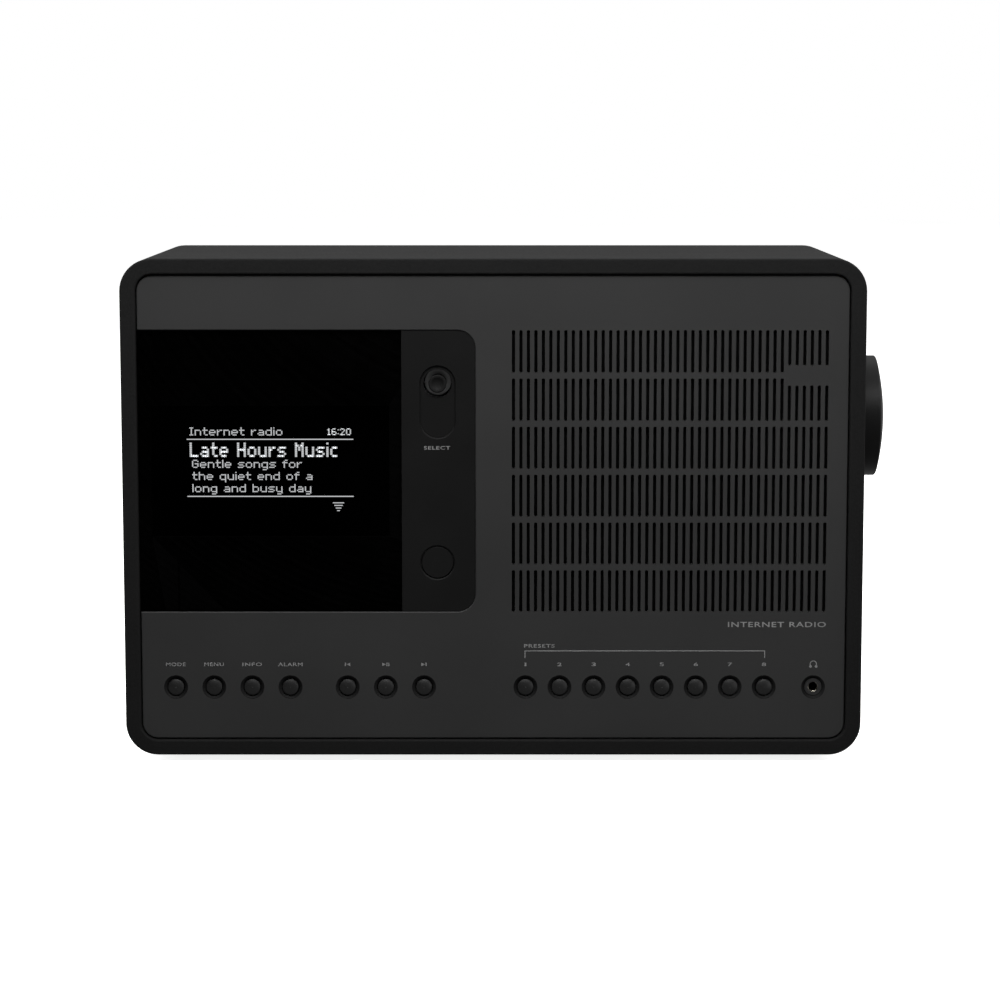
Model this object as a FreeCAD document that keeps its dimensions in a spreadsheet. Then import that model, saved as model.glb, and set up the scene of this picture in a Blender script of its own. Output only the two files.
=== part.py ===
"""Tabletop internet radio: a wooden cabinet with an aluminium front panel, as a FreeCAD macro.

Frame: +X to the user's right, +Y from the front to the back, +Z up, in millimetres. The origin is at the
bottom centre of the whole object's box. Places are written from the cabinet's centre line, its front edge
and the table, and keep() moves them to that origin.
"""

import FreeCAD
import Part
import Sketcher
import math
import os
import re

# Driving dimensions, one spreadsheet cell each.
SIZES = {
    # cabinet
    "case_width": 263.0,
    "case_height": 177.5,
    "case_depth": 115.0,
    "case_corner": 11.5,
    "wall": 5.5,
    "edge_round": 0.7,
    "foot_height": 2.5,
    "foot_radius": 8.0,
    "foot_inset": 24.0,
    "batten": 12.0,
    # front panel and what sits in its notch
    "panel_gap": 0.4,
    "panel_recess": 1.5,
    "panel_thick": 2.0,
    "insert_gap": 0.15,
    "notch_right": -6.3,
    "notch_corner": 6.5,
    "window_right": -32.5,
    "window_recess": 0.2,
    "fascia_recess": 0.5,
    # loudspeaker grille
    "grille_x": 62.5,
    "grille_z": 104.5,
    "slot_width": 1.15,
    "slot_end": 0.62,
    "slot_length": 15.05,
    "slot_pitch_x": 2.635,
    "slot_pitch_z": 17.11,
    "slot_columns": 43,
    "slot_rows": 6,
    "plain_columns": 6,
    "plain_low": 135.2,
    "plain_high": 142.3,
    # keys
    "key_z": 27.0,
    "key_pitch": 13.65,
    "function_key_x": -113.5,
    "transport_key_x": -52.1,
    "preset_key_x": 11.5,
    "preset_key_pitch": 12.18,
    "key_hole": 3.1,
    "key_dish": 4.15,
    "key_radius": 2.8,
    "key_front": 1.0,
    "key_flange": 3.7,
    "flange_y": 6.6,
    "key_end": 8.9,
    "switch_y": 10.0,
    "switch_half": 3.0,
    "switch_button": 1.6,
    "switch_proud": 0.6,
    # joystick and remote window
    "stick_x": -19.7,
    "stick_z": 135.85,
    "stadium_radius": 6.1,
    "stadium_drop": 13.35,
    "stadium_depth": 0.8,
    "dish_bevel": 0.35,
    "well_radius": 5.0,
    "stick_radius": 3.2,
    "stick_front": 0.6,
    "pivot_y": 9.6,
    "pin_radius": 0.5,
    "gimbal_radius": 4.6,
    "ring_half": 1.0,
    "ring_wall": 1.6,
    "ring_pin": 5.9,
    "rocker_radius": 2.4,
    "rocker_half": 1.2,
    "rocker_pin": 4.2,
    "housing_half": 7.5,
    "housing_front": 5.0,
    "housing_back": 14.5,
    "remote_x": -19.85,
    "remote_z": 71.9,
    "remote_radius": 5.85,
    # front baffle, display and cloth
    "baffle_thick": 5.0,
    "display_x": -79.2,
    "display_width": 84.0,
    "display_height": 46.0,
    "display_thick": 4.5,
    "cloth_width": 113.0,
    "cloth_height": 102.0,
    "cloth_thick": 0.6,
    # loudspeaker driver
    "driver_radius": 38.0,
    "flange_radius": 46.0,
    "magnet_radius": 30.0,
    "magnet_y": 38.0,
    "magnet_length": 20.0,
    "driver_screw": 43.1,
    "cup_radius": 26.0,
    "gap_inner": 12.4,
    "gap_outer": 14.2,
    "coil_radius": 13.7,
    "coil_thick": 0.6,
    "spider_y": 32.4,
    # volume control
    "knob_y": 50.0,
    "knob_z": 119.9,
    "knob_radius": 22.15,
    "knob_gap": 0.8,
    "knob_rim": 9.2,
    "knob_reach": 12.0,
    "shaft_radius": 3.0,
    "bush_radius": 3.5,
    "bush_reach": 2.5,
    "running_gap": 0.05,
    # rear panel, circuit board and sockets
    "rear_recess": 10.0,
    "rear_thick": 3.0,
    "rear_gap": 0.3,
    "screw_radius": 1.5,
    "screw_clearance": 0.15,
    "board_width": 124.0,
    "board_front": 40.0,
    "board_back": 101.0,
    "board_z": 15.0,
    "board_thick": 1.6,
    "port_x": -72.0,
    "port_z": 112.0,
    "port_radius": 15.0,
    "socket_z": 23.6,
    "jack_radius": 1.8,
    "jack_nose": 3.0,
    "jack_half": 4.5,
    "jack_depth": 14.0,
    "headphone_x": 114.4,
    "headphone_y": 2.0,
    "ethernet_x": -45.0,
    "aux_x": -14.0,
    "line_out_x": 10.0,
    "line_out_pitch": 16.0,
    "line_out_radius": 4.15,
    "power_x": 49.0,
    # rod aerial
    "aerial_x": 105.0,
    "aerial_y": 110.7,
    "aerial_z": 151.0,
    "aerial_start": 6.0,
    "aerial_length": 112.0,
    "aerial_radius": 4.0,
    "aerial_pin": 1.0,
}

SCREW_HEAD = "2 * screw_radius"
PANEL_BACK = "(panel_recess + panel_thick)"
BAFFLE_BACK = "(panel_recess + panel_thick + baffle_thick)"
FLOOR = "(foot_height + wall)"
CEILING = "(foot_height + case_height - wall)"
SIDE = "(case_width / 2)"
INSIDE = "(case_width / 2 - wall)"
PANEL_EDGE = "(case_width / 2 - wall - panel_gap)"
GRILLE_HALF = "((slot_pitch_z * (slot_rows - 1) + slot_length) / 2)"
REAR_FACE = "(case_depth - rear_recess)"
REAR_INSIDE = "(case_depth - rear_recess - rear_thick)"
BOARD_TOP = "(board_z + board_thick)"

FUNCTION_KEYS = ("mode", "menu", "info", "alarm")
TRANSPORT_KEYS = ("previous", "play", "next")
PRESET_COUNT = 8

# Turns that carry a primitive's own Z onto each axis.
TURNS = {
    "x": FreeCAD.Rotation(FreeCAD.Vector(0, 1, 0), 90),
    "y": FreeCAD.Rotation(FreeCAD.Vector(1, 0, 0), -90),
    "z": FreeCAD.Rotation(),
}

doc = FreeCAD.newDocument("TabletopRadio")
sizes = doc.addObject("Spreadsheet::Sheet", "Sizes")
parts = []


# ---------------------------------------------------------------- dimensions


def fill_sheet():
    """Writes the driving dimensions into the spreadsheet, each in its own aliased cell."""
    for row, (alias, value) in enumerate(SIZES.items(), start=1):
        sizes.set(f"A{row}", alias)
        sizes.set(f"B{row}", str(value))
        sizes.setAlias(f"B{row}", alias)
    doc.recompute()


def bound(expression):
    """The expression with each dimension's name pointed at its cell."""
    return re.sub(r"[a-z]\w*", lambda m: f"Sizes.{m[0]}" if m[0] in SIZES else m[0], str(expression))


def number(expression):
    """The expression's present value."""
    return float(sizes.evalExpression(bound(expression)))


def bind(target, name, expression):
    """Binds a property of an object to an expression of the dimensions."""
    target.setExpression(name, bound(expression))


# ---------------------------------------------------------------- bodies


def new_body():
    """An empty body in the document."""
    return doc.addObject("PartDesign::Body", "Body")


def keep(body, label, x="0", y="0", z="0"):
    """Names a finished sub-part, puts it in its place and lists it to be written."""
    body.Label = label
    bind(body, "Placement.Base.x", f"({x}) - knob_reach / 2")
    bind(body, "Placement.Base.y", f"({y}) - case_depth / 2")
    bind(body, "Placement.Base.z", z)
    parts.append(body)
    return body


def primitive(body, kind, cut, lengths, at, axis="z"):
    """Adds a primitive to a body, or cuts it away, with its lengths and place bound to expressions."""
    feature = body.newObject(f"PartDesign::{'Subtractive' if cut else 'Additive'}{kind}", kind)
    for name, expression in lengths.items():
        bind(feature, name, expression)
    feature.Placement = FreeCAD.Placement(FreeCAD.Vector(), TURNS[axis])
    for letter, expression in zip("xyz", at):
        bind(feature, f"Placement.Base.{letter}", expression)
    return feature


def block(body, across, along, up, cut=False):
    """A box between a low and a high expression on each axis."""
    spans = {"Length": across, "Width": along, "Height": up}
    lengths = {name: f"({high}) - ({low})" for name, (low, high) in spans.items()}
    return primitive(body, "Box", cut, lengths, [low for low, _ in spans.values()])


def rod(body, axis, at, radius, length, cut=False):
    """A cylinder that runs along an axis from a place."""
    return primitive(body, "Cylinder", cut, {"Radius": radius, "Height": length}, at, axis)


def around(centre, half):
    """The low and high expressions of a span about a centre."""
    return f"({centre}) - ({half})", f"({centre}) + ({half})"


def round_edges(body, radius, wanted, kind="Fillet"):
    """Rounds or bevels the edges of the body's last feature that wanted() picks by their box."""
    doc.recompute()
    base = body.Tip
    names = [f"Edge{i}" for i, edge in enumerate(base.Shape.Edges, start=1) if wanted(edge.BoundBox)]
    if not names:
        raise ValueError(f"{body.Label}: no edge to round")
    feature = body.newObject(f"PartDesign::{kind}", kind)
    feature.Base = (base, names)
    bind(feature, "Radius" if kind == "Fillet" else "Size", radius)
    return feature


def runs_along(box, axis, tolerance=1e-4):
    """Whether an edge's box says that it is straight along one axis."""
    spans = {"X": box.XLength, "Y": box.YLength, "Z": box.ZLength}
    return spans.pop(axis.upper()) > tolerance and max(spans.values()) < tolerance


# ---------------------------------------------------------------- sketches


def plane(body, role):
    """One of the body's own origin planes or axes."""
    return next(item for item in body.Origin.OriginFeatures if item.Role == role)


def sketch_on(body, role, depth="0"):
    """An empty sketch on an origin plane, moved along that plane's normal."""
    sketch = body.newObject("Sketcher::SketchObject", "Sketch")
    sketch.AttachmentSupport = [(plane(body, role), "")]
    sketch.MapMode = "FlatFace"
    bind(sketch, "AttachmentOffset.Base.z", depth)
    return sketch


def constrain(sketch, kind, *where, to=None):
    """Adds a constraint, bound to an expression where it has a value."""
    values = [] if to is None else [number(to)]
    index = sketch.addConstraint(Sketcher.Constraint(kind, *where, *values))
    if to is not None:
        bind(sketch, f"Constraints[{index}]", to)


def arc_between(start, end, radius):
    """An arc from start to end. A positive radius has its centre on the left of the way from start to end."""
    chord = end - start
    left = FreeCAD.Vector(-chord.y, chord.x, 0).normalize()
    reach = math.sqrt(max(0.0, radius**2 - chord.Length**2 / 4))
    centre = start + chord * 0.5 + left * math.copysign(reach, radius)
    circle = Part.Circle(centre, FreeCAD.Vector(0, 0, 1), abs(radius))
    ends = (start, end) if radius > 0 else (end, start)
    return Part.ArcOfCircle(circle, circle.parameter(ends[0]), circle.parameter(ends[1]))


def crown(half_width, rise):
    """The radius of an arc that rises from a half width to nothing at the axis, as an expression."""
    return f"((({half_width}) ^ 2 + ({rise}) ^ 2) / (2 * ({rise})))"


def draw(sketch, corners, arcs=None):
    """A closed outline through corners. arcs gives the signed radius of each side that is an arc."""
    arcs = arcs or {}
    points = [FreeCAD.Vector(number(across), number(up), 0) for across, up in corners]
    sides = range(len(points))
    for side in sides:
        start, end = points[side], points[(side + 1) % len(points)]
        if side in arcs:
            sketch.addGeometry(arc_between(start, end, number(arcs[side])), False)
        else:
            sketch.addGeometry(Part.LineSegment(start, end), False)
    first_end = [2 if side in arcs and number(arcs[side]) < 0 else 1 for side in sides]
    for side in sides:
        across, up = corners[side]
        follower = (side + 1) % len(points)
        constrain(sketch, "DistanceX", -1, 1, side, first_end[side], to=across)
        constrain(sketch, "DistanceY", -1, 1, side, first_end[side], to=up)
        constrain(sketch, "Coincident", side, 3 - first_end[side], follower, first_end[follower])
        if side in arcs:
            constrain(sketch, "Radius", side, to=f"abs({arcs[side]})")
    return sketch


def draw_circles(sketch, circles):
    """Circles, each with its place and radius held."""
    for index, (across, up, radius) in enumerate(circles):
        centre = FreeCAD.Vector(number(across), number(up), 0)
        sketch.addGeometry(Part.Circle(centre, FreeCAD.Vector(0, 0, 1), number(radius)), False)
        constrain(sketch, "DistanceX", -1, 1, index, 3, to=across)
        constrain(sketch, "DistanceY", -1, 1, index, 3, to=up)
        constrain(sketch, "Radius", index, to=radius)
    return sketch


def turn_profile(body, axis, corners, arcs=None):
    """Revolves an outline about X, given as (x, radius), or about Y, given as (radius, y)."""
    sketch = draw(sketch_on(body, "XY_Plane"), corners, arcs)
    feature = body.newObject("PartDesign::Revolution", "Revolution")
    feature.Profile = sketch
    feature.ReferenceAxis = (sketch, [{"x": "H_Axis", "y": "V_Axis"}[axis]])
    feature.Angle = 360
    return feature


def cut_into(body, sketch, depth):
    """Cuts a front-plane sketch into the body, towards the back."""
    feature = body.newObject("PartDesign::Pocket", "Pocket")
    feature.Profile = sketch
    bind(feature, "Length", depth)
    return feature


def repeat(body, feature, runs):
    """Repeats a feature in rows. Each run is an axis, a pitch and a count."""
    pattern = body.newObject("PartDesign::MultiTransform", "MultiTransform")
    pattern.Originals = [feature]
    pattern.Refine = False
    rows = []
    for axis, pitch, count in runs:
        row = doc.addObject("PartDesign::LinearPattern", "LinearPattern")
        body.addObject(row)
        row.Direction = (plane(body, f"{axis.upper()}_Axis"), [""])
        bind(row, "Length", f"({pitch}) * (({count}) - 1)")
        bind(row, "Occurrences", count)
        rows.append(row)
    pattern.Transformations = rows
    body.Tip = pattern
    return pattern


# ---------------------------------------------------------------- cabinet


def build_cabinet():
    """The wrapped four-sided sleeve, open at the front and back, with a hole for the volume control."""
    body = new_body()
    block(body, (f"-{SIDE}", SIDE), ("0", "case_depth"), ("foot_height", "foot_height + case_height"))
    round_edges(body, "case_corner", lambda box: runs_along(box, "y"))
    block(body, (f"-{INSIDE}", INSIDE), ("-1", "case_depth + 1"), (FLOOR, CEILING), cut=True)
    inside = number(INSIDE)
    round_edges(
        body,
        "case_corner - wall",
        lambda box: runs_along(box, "y") and abs(abs(box.XMin) - inside) < 1e-4,
    )
    round_edges(body, "edge_round", lambda box: box.YLength < 1e-4)
    rod(body, "x", (INSIDE, "knob_y", "knob_z"), "bush_radius + 0.1", "wall + 1", cut=True)
    keep(body, "cabinet")


def build_feet():
    """Four round rubber feet under the cabinet."""
    body = new_body()
    for side in ("-1", "1"):
        for depth in ("foot_inset", "case_depth - foot_inset"):
            rod(body, "z", (f"{side} * ({SIDE} - foot_inset)", depth, "0"), "foot_radius", "foot_height")
    round_edges(body, "0.6", lambda box: box.ZMax < 1e-4)
    keep(body, "feet")


def build_battens():
    """Four strips glued into the corners, which the baffle and the rear panel are screwed to."""
    body = new_body()
    corners = [(side, level) for side in (-1, 1) for level in (-1, 1)]
    for side, level in corners:
        across = (INSIDE, f"{INSIDE} - batten")
        across = (across[1], across[0]) if side > 0 else (f"-{across[0]}", f"-({across[1]})")
        up = (f"{CEILING} - batten", CEILING) if level > 0 else (FLOOR, f"{FLOOR} + batten")
        block(body, across, (BAFFLE_BACK, REAR_INSIDE), up)
    inside, floor, ceiling = number(INSIDE), number(FLOOR), number(CEILING)
    round_edges(
        body,
        "case_corner - wall",
        lambda box: runs_along(box, "y")
        and abs(abs(box.XMin) - inside) < 1e-4
        and min(abs(box.ZMin - floor), abs(box.ZMin - ceiling)) < 1e-4,
    )
    for x, z in corner_screw_places():
        rod(body, "y", (x, f"{REAR_INSIDE} - 9", z), "screw_radius", "10", cut=True)
        rod(body, "y", (x, f"{BAFFLE_BACK} - 1", z), "screw_radius", "9.8", cut=True)
    keep(body, "corner_battens")


# ---------------------------------------------------------------- front


def key_places():
    """Each key's name with its place across the panel."""
    places = {f"button_{n}": f"function_key_x + key_pitch * {i}" for i, n in enumerate(FUNCTION_KEYS)}
    places |= {f"button_{n}": f"transport_key_x + key_pitch * {i}" for i, n in enumerate(TRANSPORT_KEYS)}
    for i in range(PRESET_COUNT):
        places[f"button_preset_{i + 1}"] = f"preset_key_x + preset_key_pitch * {i}"
    return places


def slot_sketch(body, column, low, high):
    """One round-ended grille slot in the given column, from a low to a high place."""
    left = f"grille_x + slot_pitch_x * (({column}) - (slot_columns - 1) / 2) - slot_width / 2"
    right = f"{left} + slot_width"
    shoulder_low, shoulder_high = f"{low} + slot_width * 0.33", f"{high} - slot_width * 0.33"
    corners = [(left, shoulder_low), (right, shoulder_low), (right, shoulder_high), (left, shoulder_high)]
    return draw(sketch_on(body, "XZ_Plane", "-panel_recess"), corners, {0: "slot_end", 2: "slot_end"})


def build_front_panel():
    """The aluminium panel: notched for the window and fascia, slotted over the driver, dished at the keys."""
    body = new_body()
    low, high = f"{FLOOR} + panel_gap", f"{CEILING} - panel_gap"
    block(body, (f"-{PANEL_EDGE}", PANEL_EDGE), ("panel_recess", PANEL_BACK), (low, high))
    round_edges(body, "case_corner - wall - panel_gap", lambda box: runs_along(box, "y"))
    notch = (f"-{PANEL_EDGE} - 1", "notch_right")
    block(body, notch, ("panel_recess - 1", f"{PANEL_BACK} + 1"), around("grille_z", GRILLE_HALF), cut=True)
    notch_right = number("notch_right")
    round_edges(
        body, "notch_corner", lambda box: runs_along(box, "y") and abs(box.XMin - notch_right) < 1e-4
    )
    round_edges(body, "0.25", lambda box: box.YMax < number("panel_recess") + 1e-4, "Chamfer")
    doc.recompute()
    circles = [(x, "key_z", "key_hole") for x in [*key_places().values(), "headphone_x"]]
    holes = body.newObject("PartDesign::Hole", "Hole")
    holes.Profile = draw_circles(sketch_on(body, "XZ_Plane", "-panel_recess"), circles)
    doc.recompute()
    holes.DepthType = "ThroughAll"
    bind(holes, "Diameter", "2 * key_hole")
    holes.HoleCutType = "Countersink"
    bind(holes, "HoleCutDiameter", "2 * key_dish")
    holes.HoleCutCountersinkAngle = 100
    doc.recompute()
    bottom = f"(grille_z - {GRILLE_HALF})"
    upper = f"({bottom} + slot_pitch_z * (slot_rows - 2))"
    top_row = f"({bottom} + slot_pitch_z * (slot_rows - 1))"
    columns = ("x", "slot_pitch_x", "slot_columns")
    short = ("x", "slot_pitch_x", "slot_columns - plain_columns")
    plain = ("x", "slot_pitch_x", "plain_columns")
    groups = [
        ("slot_columns - plain_columns", upper, "plain_low", [plain]),
        ("slot_columns - plain_columns", "plain_high", f"{top_row} + slot_length", [plain]),
        ("0", upper, f"{upper} + slot_length", [short, ("z", "slot_pitch_z", "2")]),
        ("0", bottom, f"{bottom} + slot_length", [columns, ("z", "slot_pitch_z", "slot_rows - 2")]),
    ]
    for column, low, high, runs in groups:
        slot = cut_into(body, slot_sketch(body, column, low, high), "panel_thick + 1")
        repeat(body, slot, runs)
    keep(body, "front_panel")


def build_display_window():
    """The acrylic window that fills the notch from the panel's left edge."""
    body = new_body()
    front = "panel_recess + window_recess"
    across = (f"-{PANEL_EDGE}", "window_right - insert_gap / 2")
    block(body, across, (front, PANEL_BACK), around("grille_z", f"{GRILLE_HALF} - insert_gap"))
    round_edges(body, "0.2", lambda box: box.YMax < number(front) + 1e-4, "Chamfer")
    keep(body, "display_window")


def build_control_fascia():
    """The satin fascia beside the window, with the joystick's dish and well, and the remote eye's hole."""
    body = new_body()
    front = "(panel_recess + fascia_recess)"
    across = ("window_right + insert_gap / 2", "notch_right - insert_gap")
    block(body, across, (front, PANEL_BACK), around("grille_z", f"{GRILLE_HALF} - insert_gap"))
    right = number(across[1])
    round_edges(
        body,
        "notch_corner - insert_gap",
        lambda box: runs_along(box, "y") and abs(box.XMin - right) < 1e-4,
    )
    dish = ("stadium_radius", "stadium_depth + 1")
    lower = "stick_z - stadium_drop"
    for z in ("stick_z", lower):
        rod(body, "y", ("stick_x", f"{front} - 1", z), *dish, cut=True)
    block(
        body,
        around("stick_x", "stadium_radius"),
        (f"{front} - 1", f"{front} + stadium_depth"),
        (lower, "stick_z"),
        cut=True,
    )
    rod(body, "y", ("stick_x", "0", "stick_z"), "well_radius", "10", cut=True)
    rod(body, "y", ("remote_x", "0", "remote_z"), "remote_radius + 0.1", "10", cut=True)
    left = number("min(stick_x - stadium_radius; remote_x - remote_radius)") - 0.2
    right = number("max(stick_x + stadium_radius; remote_x + remote_radius)") + 0.2
    face = number(front)
    round_edges(
        body,
        "dish_bevel",
        lambda box: box.YMax < face + 1e-4 and box.XMin > left and box.XMax < right,
        "Chamfer",
    )
    keep(body, "control_fascia")

    body = new_body()
    front = "panel_recess + fascia_recess + 0.35"
    corners = [
        ("0", front),
        ("remote_radius - 0.4", front),
        ("remote_radius", f"{front} + 0.4"),
        ("remote_radius", PANEL_BACK),
        ("0", PANEL_BACK),
    ]
    turn_profile(body, "y", corners)
    keep(body, "remote_window", "remote_x", "0", "remote_z")


def build_front_baffle():
    """The moulded frame behind the panel, which carries the driver, display, keys and joystick."""
    body = new_body()
    gap = "rear_gap"
    through = (f"{PANEL_BACK} - 1", f"{BAFFLE_BACK} + 1")
    block(
        body,
        (f"-{INSIDE} + {gap}", f"{INSIDE} - {gap}"),
        (PANEL_BACK, BAFFLE_BACK),
        (f"{FLOOR} + {gap}", f"{CEILING} - {gap}"),
    )
    round_edges(body, "case_corner - wall", lambda box: runs_along(box, "y"))
    block(
        body,
        around("grille_x", "cloth_width / 2 + 0.2"),
        (f"{PANEL_BACK} - 1", f"{PANEL_BACK} + cloth_thick"),
        around("grille_z", "cloth_height / 2 + 0.2"),
        cut=True,
    )
    rod(body, "y", ("grille_x", "0", "grille_z"), "driver_radius", "20", cut=True)
    block(
        body,
        around("display_x", "display_width / 2 + 0.3"),
        through,
        around("grille_z", "display_height / 2 + 0.3"),
        cut=True,
    )
    block(body, around("stick_x", "7.6"), through, around("stick_z", "7.6"), cut=True)
    rod(body, "y", ("remote_x", "0", "remote_z"), "3", "20", cut=True)
    for x in key_places().values():
        rod(body, "y", (x, "0", "key_z"), "key_hole", "20", cut=True)
        rod(body, "y", (x, "flange_y - 0.1", "key_z"), "key_flange + 0.3", "10", cut=True)
    rod(body, "y", ("headphone_x", "0", "key_z"), "3.1", "20", cut=True)
    for x, z in driver_screw_places():
        rod(body, "y", (x, f"{BAFFLE_BACK} - 4", z), "screw_radius", "10", cut=True)
    for x, z in corner_screw_places():
        rod(body, "y", (x, "0", z), "screw_radius", "20", cut=True)
        rod(body, "y", (x, "0", z), SCREW_HEAD, f"{PANEL_BACK} + 1.8", cut=True)
    keep(body, "front_baffle")

    body = new_body()
    for x, z in corner_screw_places():
        rod(body, "y", (x, f"{PANEL_BACK} + 1.8", z), "screw_radius", "12")
        rod(body, "y", (x, f"{PANEL_BACK} + 0.2", z), SCREW_HEAD, "1.6")
    keep(body, "baffle_screws")


def build_display_module():
    """The display behind the window, with a stepped frame round its glass."""
    body = new_body()
    front = f"{PANEL_BACK} + 0.1"
    half_width, half_height = "display_width / 2", "display_height / 2"
    across, up = around("display_x", half_width), around("grille_z", half_height)
    block(body, across, (f"{front} + 1", f"{front} + display_thick"), up)
    inner = around("display_x", f"{half_width} - 4"), around("grille_z", f"{half_height} - 4")
    block(body, inner[0], (front, f"{front} + 1"), inner[1])
    keep(body, "display_module")


def build_grille_cloth():
    """The acoustic cloth stretched behind the slots."""
    body = new_body()
    block(
        body,
        around("grille_x", "cloth_width / 2"),
        (PANEL_BACK, f"{PANEL_BACK} + cloth_thick"),
        around("grille_z", "cloth_height / 2"),
    )
    keep(body, "grille_cloth")


# ---------------------------------------------------------------- keys


def build_keys():
    """One domed push button with a retaining flange and a stem for each key place."""
    corners = [
        ("0", "key_front"),
        ("key_radius", "key_front + 0.6"),
        ("key_radius", "flange_y"),
        ("key_flange", "flange_y"),
        ("key_flange", "flange_y + 0.8"),
        ("1.2", "flange_y + 0.8"),
        ("1.2", "key_end"),
        ("0", "key_end"),
    ]
    for label, x in key_places().items():
        body = new_body()
        turn_profile(body, "y", corners, {0: crown("key_radius", "0.6")})
        keep(body, label, x, "0", "key_z")


def build_key_board():
    """The circuit board behind the keys and its push switches."""
    board_y = "switch_y + 2.6"
    body = new_body()
    block(
        body,
        ("function_key_x - 6", "headphone_x - 6"),
        (board_y, f"{board_y} + board_thick"),
        around("key_z + 1.5", "7.5"),
    )
    keep(body, "key_board")

    body = new_body()
    for x in key_places().values():
        block(body, around(x, "switch_half"), ("switch_y", board_y), around("key_z", "switch_half"))
        rod(body, "y", (x, "switch_y - switch_proud", "key_z"), "switch_button", "switch_proud")
    keep(body, "key_switches")


def build_jack(label, x, mouth, z, facing, body_spans):
    """A 3.5 mm socket: a square body and a round nose, bored from its mouth. facing is -1 to the front."""
    body = new_body()
    across, along, up = body_spans
    block(body, across, along, up)
    near = along[0] if facing < 0 else along[1]
    start = mouth if facing < 0 else near
    rod(body, "y", (x, start, z), "jack_nose", f"abs(({mouth}) - ({near}))")
    bore_start = f"({mouth}) - 1" if facing < 0 else f"({mouth}) - jack_depth"
    rod(body, "y", (x, bore_start, z), "jack_radius", "jack_depth + 1", cut=True)
    keep(body, label)


# ---------------------------------------------------------------- joystick


def build_joystick():
    """The joystick's housing, gimbal ring, rocker and push stick, each about the same pivot."""
    at = ("stick_x", "0", "stick_z")
    body = new_body()
    across = around("0", "housing_half")
    block(body, across, ("housing_front", "housing_back"), across)
    start = ("0", "housing_front - 1", "0")
    rod(body, "y", start, "gimbal_radius + 0.6", "housing_back - housing_front", cut=True)
    start = ("-ring_pin - 0.4", "pivot_y", "0")
    rod(body, "x", start, "pin_radius + running_gap", "2 * ring_pin + 0.8", cut=True)
    keep(body, "joystick_base", *at)

    body = new_body()
    rod(body, "y", ("0", "pivot_y - ring_half", "0"), "gimbal_radius", "2 * ring_half")
    rod(body, "x", ("-ring_pin", "pivot_y", "0"), "pin_radius", "2 * ring_pin")
    rod(body, "y", ("0", "pivot_y - 2", "0"), "gimbal_radius - ring_wall", "4", cut=True)
    rod(body, "z", ("0", "pivot_y", "-6"), "pin_radius + running_gap", "12", cut=True)
    keep(body, "joystick_gimbal", *at)

    body = new_body()
    rod(body, "y", ("0", "pivot_y - rocker_half", "0"), "rocker_radius", "2 * rocker_half")
    rod(body, "z", ("0", "pivot_y", "-rocker_pin"), "pin_radius", "2 * rocker_pin")
    rod(body, "y", ("0", "pivot_y - 2", "0"), "1 + running_gap", "4", cut=True)
    keep(body, "joystick_rocker", *at)

    body = new_body()
    corners = [
        ("0", "stick_front + 0.8"),
        ("0.3", "stick_front + 0.8"),
        ("stick_radius - 1", "stick_front + 0.1"),
        ("stick_radius - 0.6", "stick_front"),
        ("stick_radius - 0.3", "stick_front"),
        ("stick_radius", "stick_front + 0.3"),
        ("stick_radius", "stick_front + 1.9"),
        ("1", "stick_front + 2.8"),
        ("1", "pivot_y + 3"),
        ("0", "pivot_y + 3"),
    ]
    turn_profile(body, "y", corners, {1: f"-{crown('stick_radius - 1.3', '0.7')}"})
    keep(body, "joystick_stick", *at)


# ---------------------------------------------------------------- loudspeaker


def driver_screw_places():
    """The four screws round the driver's flange."""
    offset = "driver_screw * sqrt(0.5)"
    return [(f"grille_x + {i} * {offset}", f"grille_z + {j} * {offset}") for i in (-1, 1) for j in (-1, 1)]


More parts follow.
